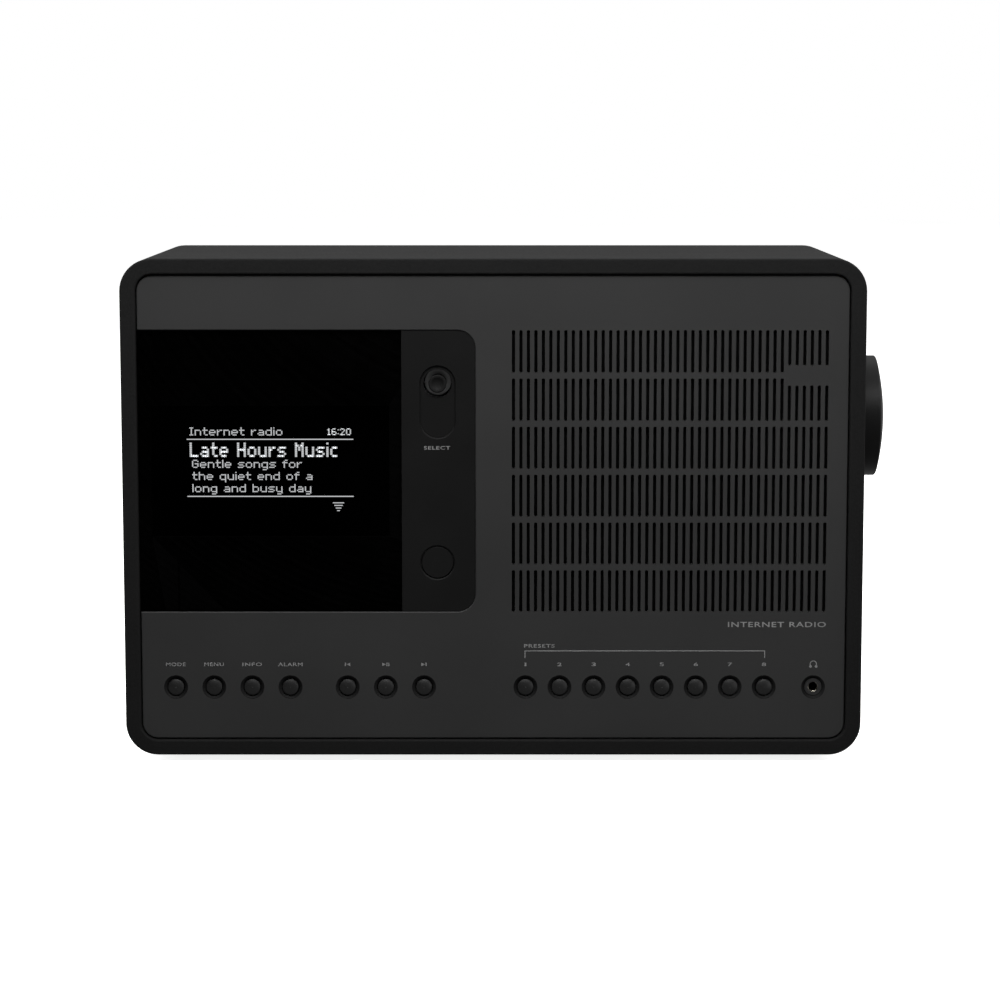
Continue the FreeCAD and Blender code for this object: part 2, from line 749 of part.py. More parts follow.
def build_loudspeaker():
    """The driver: pierced basket, magnet with its gap, cone with voice coil, and its surround and spider."""
    at = ("grille_x", "0", "grille_z")
    basket_back = "magnet_y"
    body = new_body()
    corners = [
        ("driver_radius + 0.6", BAFFLE_BACK),
        ("flange_radius", BAFFLE_BACK),
        ("flange_radius", f"{BAFFLE_BACK} + 2.2"),
        ("driver_radius + 2", f"{BAFFLE_BACK} + 2.2"),
        ("cup_radius", f"{basket_back} - 3"),
        ("cup_radius", basket_back),
        ("gap_outer + 0.1", basket_back),
        ("gap_outer + 0.1", f"{basket_back} - 1.5"),
        ("cup_radius - 1.4", f"{basket_back} - 1.5"),
        ("cup_radius - 1.4", f"{basket_back} - 3.4"),
        ("driver_radius + 0.6", f"{BAFFLE_BACK} + 1.9"),
    ]
    turn_profile(body, "y", corners)
    doc.recompute()
    along = (f"{BAFFLE_BACK} + 6", f"{basket_back} - 6")
    window = block(body, around("0", "9"), along, ("20", "45"), cut=True)
    doc.recompute()
    ring = body.newObject("PartDesign::PolarPattern", "PolarPattern")
    ring.Originals = [window]
    ring.Axis = (plane(body, "Y_Axis"), [""])
    ring.Angle = 360
    ring.Occurrences = 6
    body.Tip = ring
    offset = "driver_screw * sqrt(0.5)"
    for i in (-1, 1):
        for j in (-1, 1):
            place = (f"{i} * {offset}", "0", f"{j} * {offset}")
            rod(body, "y", place, "screw_radius + screw_clearance", "20", cut=True)
    keep(body, "speaker_basket", *at)

    body = new_body()
    back = "magnet_y + magnet_length"
    corners = [
        ("0", "magnet_y"),
        ("gap_inner", "magnet_y"),
        ("gap_inner", "magnet_y + 12"),
        ("gap_outer", "magnet_y + 12"),
        ("gap_outer", "magnet_y"),
        ("magnet_radius", "magnet_y"),
        ("magnet_radius", back),
        ("0", back),
    ]
    turn_profile(body, "y", corners)
    keep(body, "speaker_magnet", *at)

    body = new_body()
    corners = [
        ("0", "24"),
        ("coil_radius - 0.5", "28.6"),
        ("driver_radius - 2.5", "12"),
        ("driver_radius - 2.5", "12.8"),
        ("coil_radius", "30.4"),
        ("coil_radius", "magnet_y + 7"),
        ("coil_radius - coil_thick", "magnet_y + 7"),
        ("coil_radius - coil_thick", "29.4"),
        ("0", "24.8"),
    ]
    turn_profile(body, "y", corners)
    keep(body, "speaker_cone", *at)

    body = new_body()
    inner, middle, outer = "driver_radius - 2.4", "driver_radius - 0.9", "driver_radius + 0.5"
    corners = [
        (inner, "12"),
        (middle, f"{BAFFLE_BACK} + 0.2"),
        (outer, f"{BAFFLE_BACK} + 1"),
        (outer, f"{BAFFLE_BACK} + 1.6"),
        (middle, f"{BAFFLE_BACK} + 0.9"),
        (f"{inner} + 0.3", "12.8"),
        (inner, "12.8"),
    ]
    turn_profile(body, "y", corners)
    inner, outer = "coil_radius + 0.2", "cup_radius - 1"
    corners = [(inner, "spider_y"), (outer, "spider_y"), (outer, "spider_y + 0.6"), (inner, "spider_y + 0.6")]
    turn_profile(body, "y", corners)
    keep(body, "speaker_suspension", *at)

    body = new_body()
    for x, z in driver_screw_places():
        rod(body, "y", (x, f"{BAFFLE_BACK} - 4", z), "screw_radius", "6.2")
        rod(body, "y", (x, f"{BAFFLE_BACK} + 2.2", z), SCREW_HEAD, "1.6")
    keep(body, "speaker_screws")


# ---------------------------------------------------------------- volume control


def build_volume_control():
    """The push-and-turn encoder on the right side, its nut, its push plunger, the shaft and the knob."""
    at = ("0", "knob_y", "knob_z")
    bush_end = f"({SIDE} + bush_reach)"
    body = new_body()
    block(body, (f"{INSIDE} - 12", INSIDE), around("0", "6"), around("0", "6"))
    rod(body, "x", (INSIDE, "0", "0"), "bush_radius", f"{bush_end} - {INSIDE}")
    rod(body, "x", (f"{INSIDE} - 10", "0", "0"), "shaft_radius + 0.7", "4", cut=True)
    rod(body, "x", (f"{INSIDE} - 7", "0", "0"), "shaft_radius + running_gap", "30", cut=True)
    keep(body, "volume_encoder", *at)

    body = new_body()
    nut = {"Circumradius": "2 * bush_radius", "Height": "2"}
    primitive(body, "Prism", False, nut, (SIDE, "0", "0"), "x").Polygon = 6
    rod(body, "x", (f"{SIDE} - 1", "0", "0"), "bush_radius", "5", cut=True)
    keep(body, "encoder_nut", *at)

    body = new_body()
    rod(body, "x", (f"{INSIDE} - 8.4", "0", "0"), "shaft_radius + 0.4", "1")
    rod(body, "x", (f"{INSIDE} - 9.2", "0", "0"), "1", "0.8")
    keep(body, "encoder_plunger", *at)

    bore_end = f"{SIDE} + knob_reach - 3.5"
    body = new_body()
    rod(body, "x", (f"{INSIDE} - 7.3", "0", "0"), "shaft_radius", f"({bore_end}) - ({INSIDE} - 7.3)")
    keep(body, "volume_shaft", *at)

    base, rim, tip = f"{SIDE} + knob_gap", f"{SIDE} + knob_rim", f"{SIDE} + knob_reach"
    corners = [
        (f"{bush_end} + 0.9", "shaft_radius"),
        (bore_end, "shaft_radius"),
        (bore_end, "0"),
        (tip, "0"),
        (rim, "knob_radius - 0.3"),
        (f"{rim} - 0.3", "knob_radius"),
        (f"{base} + 0.4", "knob_radius"),
        (base, "knob_radius - 0.4"),
        (base, "knob_radius - 2"),
        (f"{rim} - 2.5", "knob_radius - 2"),
        (f"{rim} - 2.5", "shaft_radius + 2.6"),
        (f"{bush_end} + 0.9", "shaft_radius + 2.6"),
    ]
    body = new_body()
    turn_profile(body, "x", corners, {3: crown("knob_radius - 0.3", "knob_reach - knob_rim")})
    keep(body, "volume_knob", *at)


# ---------------------------------------------------------------- circuit board and sockets


def build_main_board():
    """The main circuit board on its posts, with the network module, heat sink and tall components."""
    half = "board_width / 2"
    body = new_body()
    block(body, (f"-{half}", half), ("board_front", "board_back"), ("board_z", BOARD_TOP))
    keep(body, "main_board")

    body = new_body()
    for side in ("-1", "1"):
        for depth in ("board_front + 5", "board_back - 17"):
            rod(body, "z", (f"{side} * ({half} - 5)", depth, FLOOR), "3", f"board_z - {FLOOR}")
    keep(body, "board_posts")

    body = new_body()
    block(body, ("-52", "-18"), ("48", "74"), (BOARD_TOP, f"{BOARD_TOP} + 3.4"))
    block(body, ("-50", "-20"), ("50", "72"), (f"{BOARD_TOP} + 3.4", f"{BOARD_TOP} + 3.8"))
    keep(body, "network_module")

    body = new_body()
    block(body, ("8", "40"), ("46", "66"), (BOARD_TOP, f"{BOARD_TOP} + 3"))
    fin = block(body, ("8", "9.2"), ("46", "66"), (f"{BOARD_TOP} + 3", f"{BOARD_TOP} + 14"))
    doc.recompute()
    repeat(body, fin, [("x", "30.8 / 8", "9")])
    keep(body, "heat_sink")

    body = new_body()
    cans = ((50, 48, 5, 18), (50, 62, 5, 18), (50, 74, 4, 12), (-8, 80, 3.2, 9), (-8, 50, 4, 10))
    for x, y, radius, tall in cans:
        rod(body, "z", (x, y, BOARD_TOP), radius, tall)
    for x, y, half_side in ((-4, 66, 5), (20, 78, 6), (34, 76, 3)):
        block(body, around(x, half_side), around(y, half_side), (BOARD_TOP, f"{BOARD_TOP} + 1.4"))
    keep(body, "board_components")


def build_ethernet_socket():
    """The network socket: a shielded box with a keyed mouth to the rear."""
    mouth = f"({REAR_FACE} + 0.6)"
    floor = f"({BOARD_TOP} + 2.2)"
    body = new_body()
    block(body, around("ethernet_x", "8"), (f"{mouth} - 21.5", mouth), (BOARD_TOP, f"{BOARD_TOP} + 13.4"))
    inside = (f"{mouth} - 12.5", f"{mouth} + 1")
    block(body, around("ethernet_x", "5.9"), inside, (floor, f"{floor} + 6.6"), cut=True)
    block(body, around("ethernet_x", "3.1"), inside, (f"{floor} + 6.6", f"{floor} + 8.2"), cut=True)
    block(body, around("ethernet_x", "1.6"), inside, (f"{floor} + 8.2", f"{floor} + 9.8"), cut=True)
    keep(body, "ethernet_socket")


def build_line_out():
    """A pair of round output sockets whose collars stand out of the rear panel."""
    body = new_body()
    for index in range(2):
        x = f"line_out_x + line_out_pitch * {index}"
        block(body, around(x, "6"), (f"{REAR_INSIDE} - 12", REAR_INSIDE), (BOARD_TOP, "socket_z + 6.5"))
        rod(body, "y", (x, REAR_INSIDE, "socket_z"), "line_out_radius", "rear_thick + 8")
        rod(body, "y", (x, f"{REAR_INSIDE} + 2", "socket_z"), "1.65", "20", cut=True)
    keep(body, "line_out_sockets")


def build_power_inlet():
    """The low-voltage inlet: a bored block with a centre pin."""
    mouth = f"({REAR_FACE} + 0.2)"
    body = new_body()
    block(body, around("power_x", "5.5"), (f"{mouth} - 14", mouth), (BOARD_TOP, "socket_z + 5.5"))
    rod(body, "y", ("power_x", f"{mouth} - 9", "socket_z"), "2.8", "20", cut=True)
    rod(body, "y", ("power_x", f"{mouth} - 10", "socket_z"), "1", "9")
    keep(body, "power_inlet")


# ---------------------------------------------------------------- rear


def corner_screw_places():
    """The screws that hold the rear panel and the baffle to the corner battens."""
    x, low, high = f"{INSIDE} - batten / 2", f"{FLOOR} + batten / 2", f"{CEILING} - batten / 2"
    return [(f"-({x})", low), (x, low), (f"-({x})", high), (x, high)]


def build_rear_panel():
    """The moulded rear panel, with openings for the sockets, the port, the aerial and cooling."""
    body = new_body()
    through = (f"{REAR_INSIDE} - 1", f"{REAR_FACE} + 1")
    block(
        body,
        (f"-{INSIDE} + rear_gap", f"{INSIDE} - rear_gap"),
        (REAR_INSIDE, REAR_FACE),
        (f"{FLOOR} + rear_gap", f"{CEILING} - rear_gap"),
    )
    round_edges(body, "case_corner - wall", lambda box: runs_along(box, "y"))
    round_edges(body, "0.4", lambda box: box.YMin > number(REAR_FACE) - 1e-4, "Chamfer")
    rod(body, "y", ("port_x", through[0], "port_z"), "port_radius + 2", "10", cut=True)
    rod(body, "y", ("aerial_x", through[0], "aerial_z"), "4", "10", cut=True)
    block(body, around("ethernet_x", "8.3"), through, (f"{BOARD_TOP} - 0.5", f"{BOARD_TOP} + 13.7"), cut=True)
    block(body, around("power_x", "5.8"), through, (f"{BOARD_TOP} - 0.5", "socket_z + 5.8"), cut=True)
    rod(body, "y", ("aux_x", through[0], "socket_z"), "3.2", "10", cut=True)
    for index in range(2):
        x = f"line_out_x + line_out_pitch * {index}"
        rod(body, "y", (x, through[0], "socket_z"), "line_out_radius + 0.2", "10", cut=True)
    for x, z in corner_screw_places():
        rod(body, "y", (x, through[0], z), "screw_radius", "10", cut=True)
    vent = block(body, ("-17.5", "-15.5"), through, ("126", "150"), cut=True)
    doc.recompute()
    repeat(body, vent, [("x", "4.5", "8")])
    keep(body, "rear_panel")

    body = new_body()
    for x, z in corner_screw_places():
        rod(body, "y", (x, f"{REAR_INSIDE} - 9", z), "screw_radius", "9 + rear_thick")
        rod(body, "y", (x, REAR_FACE, z), SCREW_HEAD, "1.6")
        rod(body, "y", (x, f"{REAR_FACE} + 0.7", z), "1.2", "2", cut=True)
    keep(body, "rear_screws")


def build_bass_port():
    """The tuned port: a tube through the rear panel with a flared lip."""
    corners = [
        ("port_radius", "50"),
        ("port_radius + 2", "50"),
        ("port_radius + 2", REAR_FACE),
        ("port_radius + 5.5", REAR_FACE),
        ("port_radius + 5.5", f"{REAR_FACE} + 0.8"),
        ("port_radius + 4", f"{REAR_FACE} + 1.5"),
        ("port_radius", f"{REAR_FACE} - 3"),
    ]
    body = new_body()
    turn_profile(body, "y", corners, {5: "6.2"})
    keep(body, "bass_port", "port_x", "0", "port_z")


# ---------------------------------------------------------------- aerial


def build_aerial():
    """The rod aerial: its socket, a swivelling knuckle, and the sleeved rod that hangs from the knuckle."""
    at = ("aerial_x", "0", "aerial_z")
    flange_face = f"({REAR_FACE} + 1.4)"
    body = new_body()
    corners = [
        ("0", f"{REAR_INSIDE} - 3"),
        ("6", f"{REAR_INSIDE} - 3"),
        ("6", REAR_INSIDE),
        ("3.9", REAR_INSIDE),
        ("3.9", REAR_FACE),
        ("6.5", REAR_FACE),
        ("6.5", f"{flange_face} - 0.4"),
        ("6.1", flange_face),
        ("0", flange_face),
    ]
    turn_profile(body, "y", corners)
    keep(body, "aerial_socket", *at)

    body = new_body()
    rod(body, "y", ("0", f"{flange_face} + 0.1", "0"), "4.6", "1.1")
    for low, high in (("-4.2", "-2.3"), ("2.3", "4.2")):
        block(body, (low, high), (f"{flange_face} + 1.2", "aerial_y + 2.8"), ("-3.2", "3.2"))
    back = number("aerial_y + 2.8")
    round_edges(body, "1.6", lambda box: runs_along(box, "x") and box.YMin > back - 1e-4)
    rod(body, "x", ("-4.2", "aerial_y", "0"), "aerial_pin", "8.4")
    keep(body, "aerial_knuckle", *at)

    body = new_body()
    start, end = "aerial_start", "(aerial_start + aerial_length)"
    corners = [
        ("0", "0"),
        ("2", "0"),
        ("2", start),
        ("aerial_radius - 0.4", start),
        ("aerial_radius", f"{start} + 0.4"),
        ("aerial_radius", f"{start} + 12"),
        ("aerial_radius - 0.5", f"{start} + 14"),
        ("aerial_radius - 0.9", f"{end} - 1.6"),
        ("aerial_radius - 2.2", end),
        ("0", end),
    ]
    turn_profile(body, "y", corners, {7: "2"})
    rod(body, "x", ("-2.15", "0", "0"), "2.8", "4.3")
    rod(body, "x", ("-4", "0", "0"), "aerial_pin + running_gap", "8", cut=True)
    keep(body, "aerial_rod", "aerial_x", "aerial_y", "aerial_z")
    body.Placement = FreeCAD.Placement(body.Placement.Base, FreeCAD.Rotation(FreeCAD.Vector(1, 0, 0), -90))


# ---------------------------------------------------------------- the whole


def build_all():
    """Every sub-part in turn."""
    build_cabinet()
    build_feet()
    build_battens()
    build_front_panel()
    build_display_window()
    build_control_fascia()
    build_front_baffle()
    build_display_module()
    build_grille_cloth()
    build_keys()
    build_key_board()
    along = (BAFFLE_BACK, f"{BAFFLE_BACK} + 14")
    headphone_spans = (around("headphone_x", "jack_half"), along, around("key_z", "jack_half"))
    build_jack("headphone_socket", "headphone_x", "headphone_y", "key_z", -1, headphone_spans)
    build_joystick()
    build_loudspeaker()
    build_volume_control()
    build_main_board()
    build_ethernet_socket()
    aux_spans = (around("aux_x", "jack_half"), (f"{REAR_INSIDE} - 13", REAR_INSIDE), (BOARD_TOP, "socket_z + 5"))
    build_jack("aux_socket", "aux_x", f"{REAR_FACE} + 0.4", "socket_z", 1, aux_spans)
    build_line_out()
    build_power_inlet()
    build_rear_panel()
    build_bass_port()
    build_aerial()


def check_and_write():
    """Stops on any failed object or bad solid, then writes each sub-part's STEP file."""
    doc.recompute()
    failed = [item.Name for item in doc.Objects if {"Invalid", "Error"} & set(item.State)]
    bad = [item.Label for item in parts if item.Shape.isNull() or not item.Shape.isValid()]
    if failed or bad:
        raise RuntimeError(f"failed objects {failed}, bad sub-parts {bad}")
    os.makedirs("parts", exist_ok=True)
    for item in parts:
        item.Shape.exportStep(os.path.join("parts", f"{item.Label}.step"))
        print(f"{item.Label}: {item.Shape.Volume / 1000:.2f} cm3, {len(item.Shape.Solids)} solids")
    print(len(parts), "sub-parts")


fill_sheet()
build_all()
check_and_write()
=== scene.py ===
"""Looks of a tabletop internet radio: its finishes, its printing, its display and its small fittings.

Everything but the finishes' patterns is in metres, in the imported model's frame: +X to the user's right, +Y
from the front to the back, +Z up, with the table at z = 0.
"""

import logging
import math
from collections.abc import Sequence
from dataclasses import dataclass, field
from enum import Enum

import bmesh
import bpy
from mathutils import Matrix, Vector

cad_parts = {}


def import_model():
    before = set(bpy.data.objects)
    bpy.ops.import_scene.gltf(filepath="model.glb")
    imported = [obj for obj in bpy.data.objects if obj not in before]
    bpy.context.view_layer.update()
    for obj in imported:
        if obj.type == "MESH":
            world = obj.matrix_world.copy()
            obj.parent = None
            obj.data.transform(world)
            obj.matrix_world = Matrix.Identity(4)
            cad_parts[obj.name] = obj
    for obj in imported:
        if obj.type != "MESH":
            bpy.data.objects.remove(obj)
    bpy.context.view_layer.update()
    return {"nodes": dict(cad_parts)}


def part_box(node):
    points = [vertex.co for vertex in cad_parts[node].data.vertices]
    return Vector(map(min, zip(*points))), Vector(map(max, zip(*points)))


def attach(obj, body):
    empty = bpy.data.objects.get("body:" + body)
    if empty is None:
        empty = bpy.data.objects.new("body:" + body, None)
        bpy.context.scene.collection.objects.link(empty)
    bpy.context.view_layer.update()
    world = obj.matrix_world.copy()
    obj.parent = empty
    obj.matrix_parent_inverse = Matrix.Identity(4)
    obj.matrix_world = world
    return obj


LOG = logging.getLogger("radio")
MM = 0.001
INK_THICKNESS = 0.02 * MM
LETTER_WEIGHT = 0.012
LETTER_SPACING = 1.12
Point = tuple[float, float]
Place = tuple[float, float, float]
Socket = tuple[bpy.types.Node, str | int]


# ---------------------------------------------------------------- colour and nodes


def linear(colour: str) -> tuple[float, float, float, float]:
    """Turns an sRGB hex colour into linear light.

    Args:
        colour: Six hex digits.

    Returns:
        Red, green, blue and alpha.
    """
    parts = [int(colour[i : i + 2], 16) / 255 for i in (0, 2, 4)]
    red, green, blue = (c / 12.92 if c <= 0.04045 else ((c + 0.055) / 1.055) ** 2.4 for c in parts)
    return red, green, blue, 1.0


def add_node(
    tree: bpy.types.NodeTree,
    kind: str,
    settings: dict[str | int, object] | None = None,
    links: dict[str | int, Socket] | None = None,
) -> bpy.types.Node:
    """Adds a node with its settings and links.

    Args:
        tree: The node tree.
        kind: The node's type, without its ShaderNode prefix.
        settings: Values by socket name or number, or by property name.
        links: The node and socket that feed each of its sockets.

    Returns:
        The node.
    """
    node = tree.nodes.new(f"ShaderNode{kind}")
    for key, value in (settings or {}).items():
        if isinstance(key, str) and hasattr(node, key) and key not in node.inputs:
            setattr(node, key, value)
        else:
            node.inputs[key].default_value = value
    for key, (source, output) in (links or {}).items():
        tree.links.new(source.outputs[output], node.inputs[key])
    return node


class Way(Enum):
    """The way that a directional pattern runs."""

    X = (1, 0, 0)
    Y = (0, 1, 0)
    Z = (0, 0, 1)


# ---------------------------------------------------------------- finishes


@dataclass(frozen=True)
class Finish:
    """A surface: two near tones in soft clouds, a fine grain in its relief and its gloss, and handling marks.

    Attributes:
        name: What the surface is.
        slot: The record's material slot; not used.
        colour: Its main tone, in sRGB hex.
        shade: Its second tone.
        roughness: Its mean roughness.
        swing: How far the grain moves the roughness each way.
        grain: The size of one grain, in millimetres.
        relief: The height of the grain, in millimetres.
        clouds: The size of the patches of the second tone, in millimetres.
        metallic: 1 for bare metal.
        ior: The index of refraction.
        specular: The specular level.
    """

    name: str
    slot: str
    colour: str
    shade: str
    roughness: float
    swing: float = 0.05
    grain: float = 0.4
    relief: float = 0.01
    clouds: float = 30.0
    metallic: float = 0.0
    ior: float = 1.5
    specular: float = 0.5

    def pattern(self, tree: bpy.types.NodeTree, place: Socket) -> Socket:
        """Draws the grain's height, from 0 to 1, as fine noise.

        Args:
            tree: The node tree.
            place: The point on the object.

        Returns:
            The node and socket that give the height.
        """
        settings = {"Scale": 1 / (self.grain * MM), "Detail": 3.0, "Roughness": 0.6}
        return add_node(tree, "TexNoise", settings, {"Vector": place}), "Fac"

    def extras(self) -> dict[str, float]:
        """The shader settings that only this kind of surface has."""
        return {}

    def tinted(self) -> tuple[str, ...]:
        """The shader's sockets that take the colour."""
        return ("Base Color",)

    def material(self) -> bpy.types.Material:
        """Builds the material once and hands the same one back afterwards.

        Returns:
            The material.
        """
        if self.name in bpy.data.materials:
            return bpy.data.materials[self.name]
        made = bpy.data.materials.new(self.name)
        made.use_nodes = True
        tree = made.node_tree
        tree.nodes.clear()
        place = (add_node(tree, "TexCoord"), "Object")
        height = self.pattern(tree, place)
        patches = {"Scale": 1 / (self.clouds * MM), "Detail": 4.0, "Roughness": 0.55}
        clouds = add_node(tree, "TexNoise", patches, {"Vector": place})
        spread = {"From Min": 0.35, "From Max": 0.7, "To Min": 0.0, "To Max": 1.0}
        amount = add_node(tree, "MapRange", spread, {"Value": (clouds, "Fac")})
        tones = {"data_type": "RGBA", 6: linear(self.colour), 7: linear(self.shade)}
        base = add_node(tree, "Mix", tones, {0: (amount, "Result")})
        rubbed = add_node(tree, "Math", {"operation": "ADD"}, {0: height, 1: (clouds, "Fac")})
        lowest = max(self.roughness - self.swing, 0.02)
        highest = min(self.roughness + self.swing, 1.0)
        marks = {"From Min": 0.6, "From Max": 1.4, "To Min": lowest, "To Max": highest}
        gloss = add_node(tree, "MapRange", marks, {"Value": (rubbed, "Value")})
        bump = add_node(tree, "Bump", {"Strength": 1.0, "Distance": self.relief * MM}, {"Height": height})
        settings = {"Metallic": self.metallic, "IOR": self.ior, "Specular IOR Level": self.specular}
        links = {"Roughness": (gloss, "Result"), "Normal": (bump, "Normal")}
        links |= {socket: (base, 2) for socket in self.tinted()}
        shader = add_node(tree, "BsdfPrincipled", settings | self.extras(), links)
        add_node(tree, "OutputMaterial", links={"Surface": (shader, 0)})
        return made


@dataclass(frozen=True)
class Pebbled(Finish):
    """A skin of small rounded cells, as an embossing roller or a spark-eroded mould leaves."""

    def pattern(self, tree: bpy.types.NodeTree, place: Socket) -> Socket:
        """Draws the cells' height as rounded Voronoi cells."""
        settings = {"Scale": 1 / (self.grain * MM), "feature": "SMOOTH_F1", "Smoothness": 0.6}
        return add_node(tree, "TexVoronoi", settings, {"Vector": place}), "Distance"


@dataclass(frozen=True)
class Brushed(Finish):
    """Fine lines that run one way, from an abrasive belt or a lathe tool.

    Attributes:
        way: The way the lines run.
        stretch: How many times longer a line is than it is wide.
    """

    way: Way = Way.X
    stretch: float = 60.0

    def pattern(self, tree: bpy.types.NodeTree, place: Socket) -> Socket:
        """Draws the lines' height as noise drawn out along them.

        Args:
            tree: The node tree.
            place: The point on the object.

        Returns:
            The node and socket that give the height.
        """
        squeeze = [1 / self.stretch if along else 1.0 for along in self.way.value]
        drawn = add_node(tree, "Mapping", {"Scale": squeeze}, {"Vector": place})
        settings = {"Scale": 1 / (self.grain * MM), "Detail": 2.0}
        return add_node(tree, "TexNoise", settings, {"Vector": (drawn, "Vector")}), "Fac"


@dataclass(frozen=True)
class Woven(Finish):
    """Plain-weave cloth: warp and weft threads a grain apart."""

    def pattern(self, tree: bpy.types.NodeTree, place: Socket) -> Socket:
        """Draws the threads' height as two sets of waves, multiplied.

        Args:
            tree: The node tree.
            place: The point on the object.

        Returns:
            The node and socket that give the height.
        """
        waves = []
        for direction in ("X", "Z"):
            scale = 2 / (math.tau * self.grain * MM)
            settings = {"Scale": scale, "bands_direction": direction, "Distortion": 0.4}
            waves.append(add_node(tree, "TexWave", settings, {"Vector": place}))
        crossing = {0: (waves[0], "Fac"), 1: (waves[1], "Fac")}
        return add_node(tree, "Math", {"operation": "MULTIPLY"}, crossing), "Value"


@dataclass(frozen=True)
class Laminate(Finish):
    """A circuit board: solder mask with the tracks under it standing up as fine ribs."""

    def pattern(self, tree: bpy.types.NodeTree, place: Socket) -> Socket:
        """Draws the tracks' height as a grid of long bricks."""
        brick = {"Mortar Size": 0.03, "Brick Width": 3.0, "Row Height": 0.5}
        return add_node(tree, "TexBrick", {"Scale": 1 / (self.grain * MM)} | brick, {"Vector": place}), "Fac"


@dataclass(frozen=True)
class Smoked(Finish):
    """Clear acrylic tinted almost black, with an anti-glare coat, so the display shows through it.

    Attributes:
        cover: How much of what lies behind the tint hides.
    """

    cover: float = 0.5

    def extras(self) -> dict[str, float]:
        """The tint's cover, which lets part of the light through."""
        return {"Alpha": self.cover}


@dataclass(frozen=True)
class Glowing(Finish):
    """A surface that gives light of its own.

    Attributes:
        power: The strength of the glow.
    """

    power: float = 1.0

    def extras(self) -> dict[str, float]:
        """The strength of the light it gives of its own."""
        return {"Emission Strength": self.power}

    def tinted(self) -> tuple[str, ...]:
        """The glow takes the colour too."""
        return ("Base Color", "Emission Color")


# Calendered PVC foil over pressed board: a dead black with a fine leathery emboss that kills reflections. The
# real emboss is 0.3 mm across; it is drawn at 0.8 mm so that it shows.
BLACK_FOIL = Pebbled(
    "black_embossed_pvc_foil", "cabinet_wrap", "0D0D0D", "101010", 0.8, 0.08, 0.8, 0.05, specular=0.12
)
# Bead-blasted and black-anodised aluminium: even satin grey-black with a soft metallic bloom.
BLACK_ANODISED = Finish(
    "black_anodised_bead_blasted_aluminium", "panel_aluminium", "242424", "272727", 0.44, 0.04, 0.3,
    0.006, clouds=60, specular=0.25,
)
# Cast acrylic, smoke tinted: a deep black sheet with no grain of its own.
SMOKED_ACRYLIC = Smoked(
    "smoke_tinted_acrylic", "window_acrylic", "000000", "010101", 0.12, 0.02, 2.0, 0.001, ior=1.49,
    specular=0.0, cover=0.7,
)
# Acrylic painted black on its back and matted on its face: darker than the metal beside it.
MATT_ACRYLIC = Finish(
    "matted_black_acrylic", "fascia_acrylic", "0E0E0E", "101010", 0.42, 0.04, 0.25, 0.004, ior=1.49,
    specular=0.12,
)
# Injection-moulded ABS from a spark-eroded tool: low sheen over fine pebbles.
ERODED_ABS = Pebbled(
    "spark_eroded_black_abs", "moulded_plastic", "1A1A1A", "1E1E1E", 0.55, 0.08, 0.45, 0.03, ior=1.54
)
# ABS painted with soft-touch lacquer: the buttons' dark satin.
LACQUERED_ABS = Finish(
    "soft_touch_lacquered_abs", "key_plastic", "121212", "151515", 0.42, 0.06, 0.2, 0.004, ior=1.52,
    specular=0.3,
)
# ABS from a heavily eroded tool: the joystick's dead matt, which keeps a thumb from slipping.
MATT_ABS = Pebbled(
    "matt_textured_abs", "key_plastic", "0B0B0B", "0F0F0F", 0.72, 0.06, 0.3, 0.01, ior=1.54, specular=0.1
)
# The knob's painted plastic, turned smooth: a little brighter where light rakes its dome.
LACQUERED_KNOB = Finish(
    "satin_lacquered_knob", "knob_plastic", "0C0C0C", "0F0F0F", 0.5, 0.05, 0.25, 0.005, ior=1.52,
    specular=0.13,
)
# Moulded synthetic rubber: no gloss, with a powdery bloom.
MOULDED_RUBBER = Finish(
    "moulded_nitrile_rubber", "foot_rubber", "161616", "1F1F1F", 0.85, 0.08, 0.6, 0.03, specular=0.3
)
# Thermoplastic rubber sleeve over the aerial: fine sink texture.
AERIAL_SLEEVE = Pebbled(
    "moulded_rubber_sleeve", "aerial_sleeve", "171717", "1C1C1C", 0.6, 0.06, 0.35, 0.02
)
# Polyester acoustic cloth in plain weave, threads 0.5 mm apart, so the slots read as black.
ACOUSTIC_CLOTH = Woven(
    "plain_weave_polyester", "acoustic_cloth", "050505", "080808", 0.95, 0.03, 0.5, 0.08, specular=0.02
)
# Softwood strip, planed: pale with grain along the batten.
PLANED_PINE = Brushed(
    "planed_pine", "batten_wood", "B08A5B", "8E6A3F", 0.7, 0.08, 0.8, 0.03, way=Way.Y, stretch=25
)
# Zinc-plated steel: bright with a faint blue-grey passivated cast.
ZINC_STEEL = Brushed(
    "zinc_plated_steel", "zinc_steel", "A9ACB0", "8F9398", 0.32, 0.1, 0.2, 0.004, metallic=1.0,
    way=Way.Y,
)
# Steel with black oxide: the rear screws.
BLACK_STEEL = Finish(
    "black_oxide_steel", "black_steel", "242424", "303030", 0.4, 0.1, 0.2, 0.006, metallic=0.8
)
# Nickel-plated brass: the sockets' contacts.
NICKEL_BRASS = Brushed(
    "nickel_plated_brass", "socket_brass", "B9B4A8", "A39D90", 0.24, 0.08, 0.15, 0.003, metallic=1.0,
    way=Way.X,
)
# Gold flash over phosphor bronze: the network contacts.
GOLD_CONTACT = Finish(
    "gold_flashed_bronze", "shaft_brass", "D8B25A", "C49A45", 0.25, 0.05, 0.2, 0.002, metallic=1.0
)
# Tin-plated sheet: the screens of the network socket and module.
TINNED_SHEET = Brushed(
    "tin_plated_sheet", "shield_steel", "9DA0A2", "868A8D", 0.35, 0.08, 0.3, 0.004, metallic=1.0
)
# Turned brass: the volume shaft.
TURNED_BRASS = Brushed(
    "turned_brass", "shaft_brass", "C9A45C", "B08A45", 0.3, 0.08, 0.2, 0.004, metallic=1.0, way=Way.Z
)
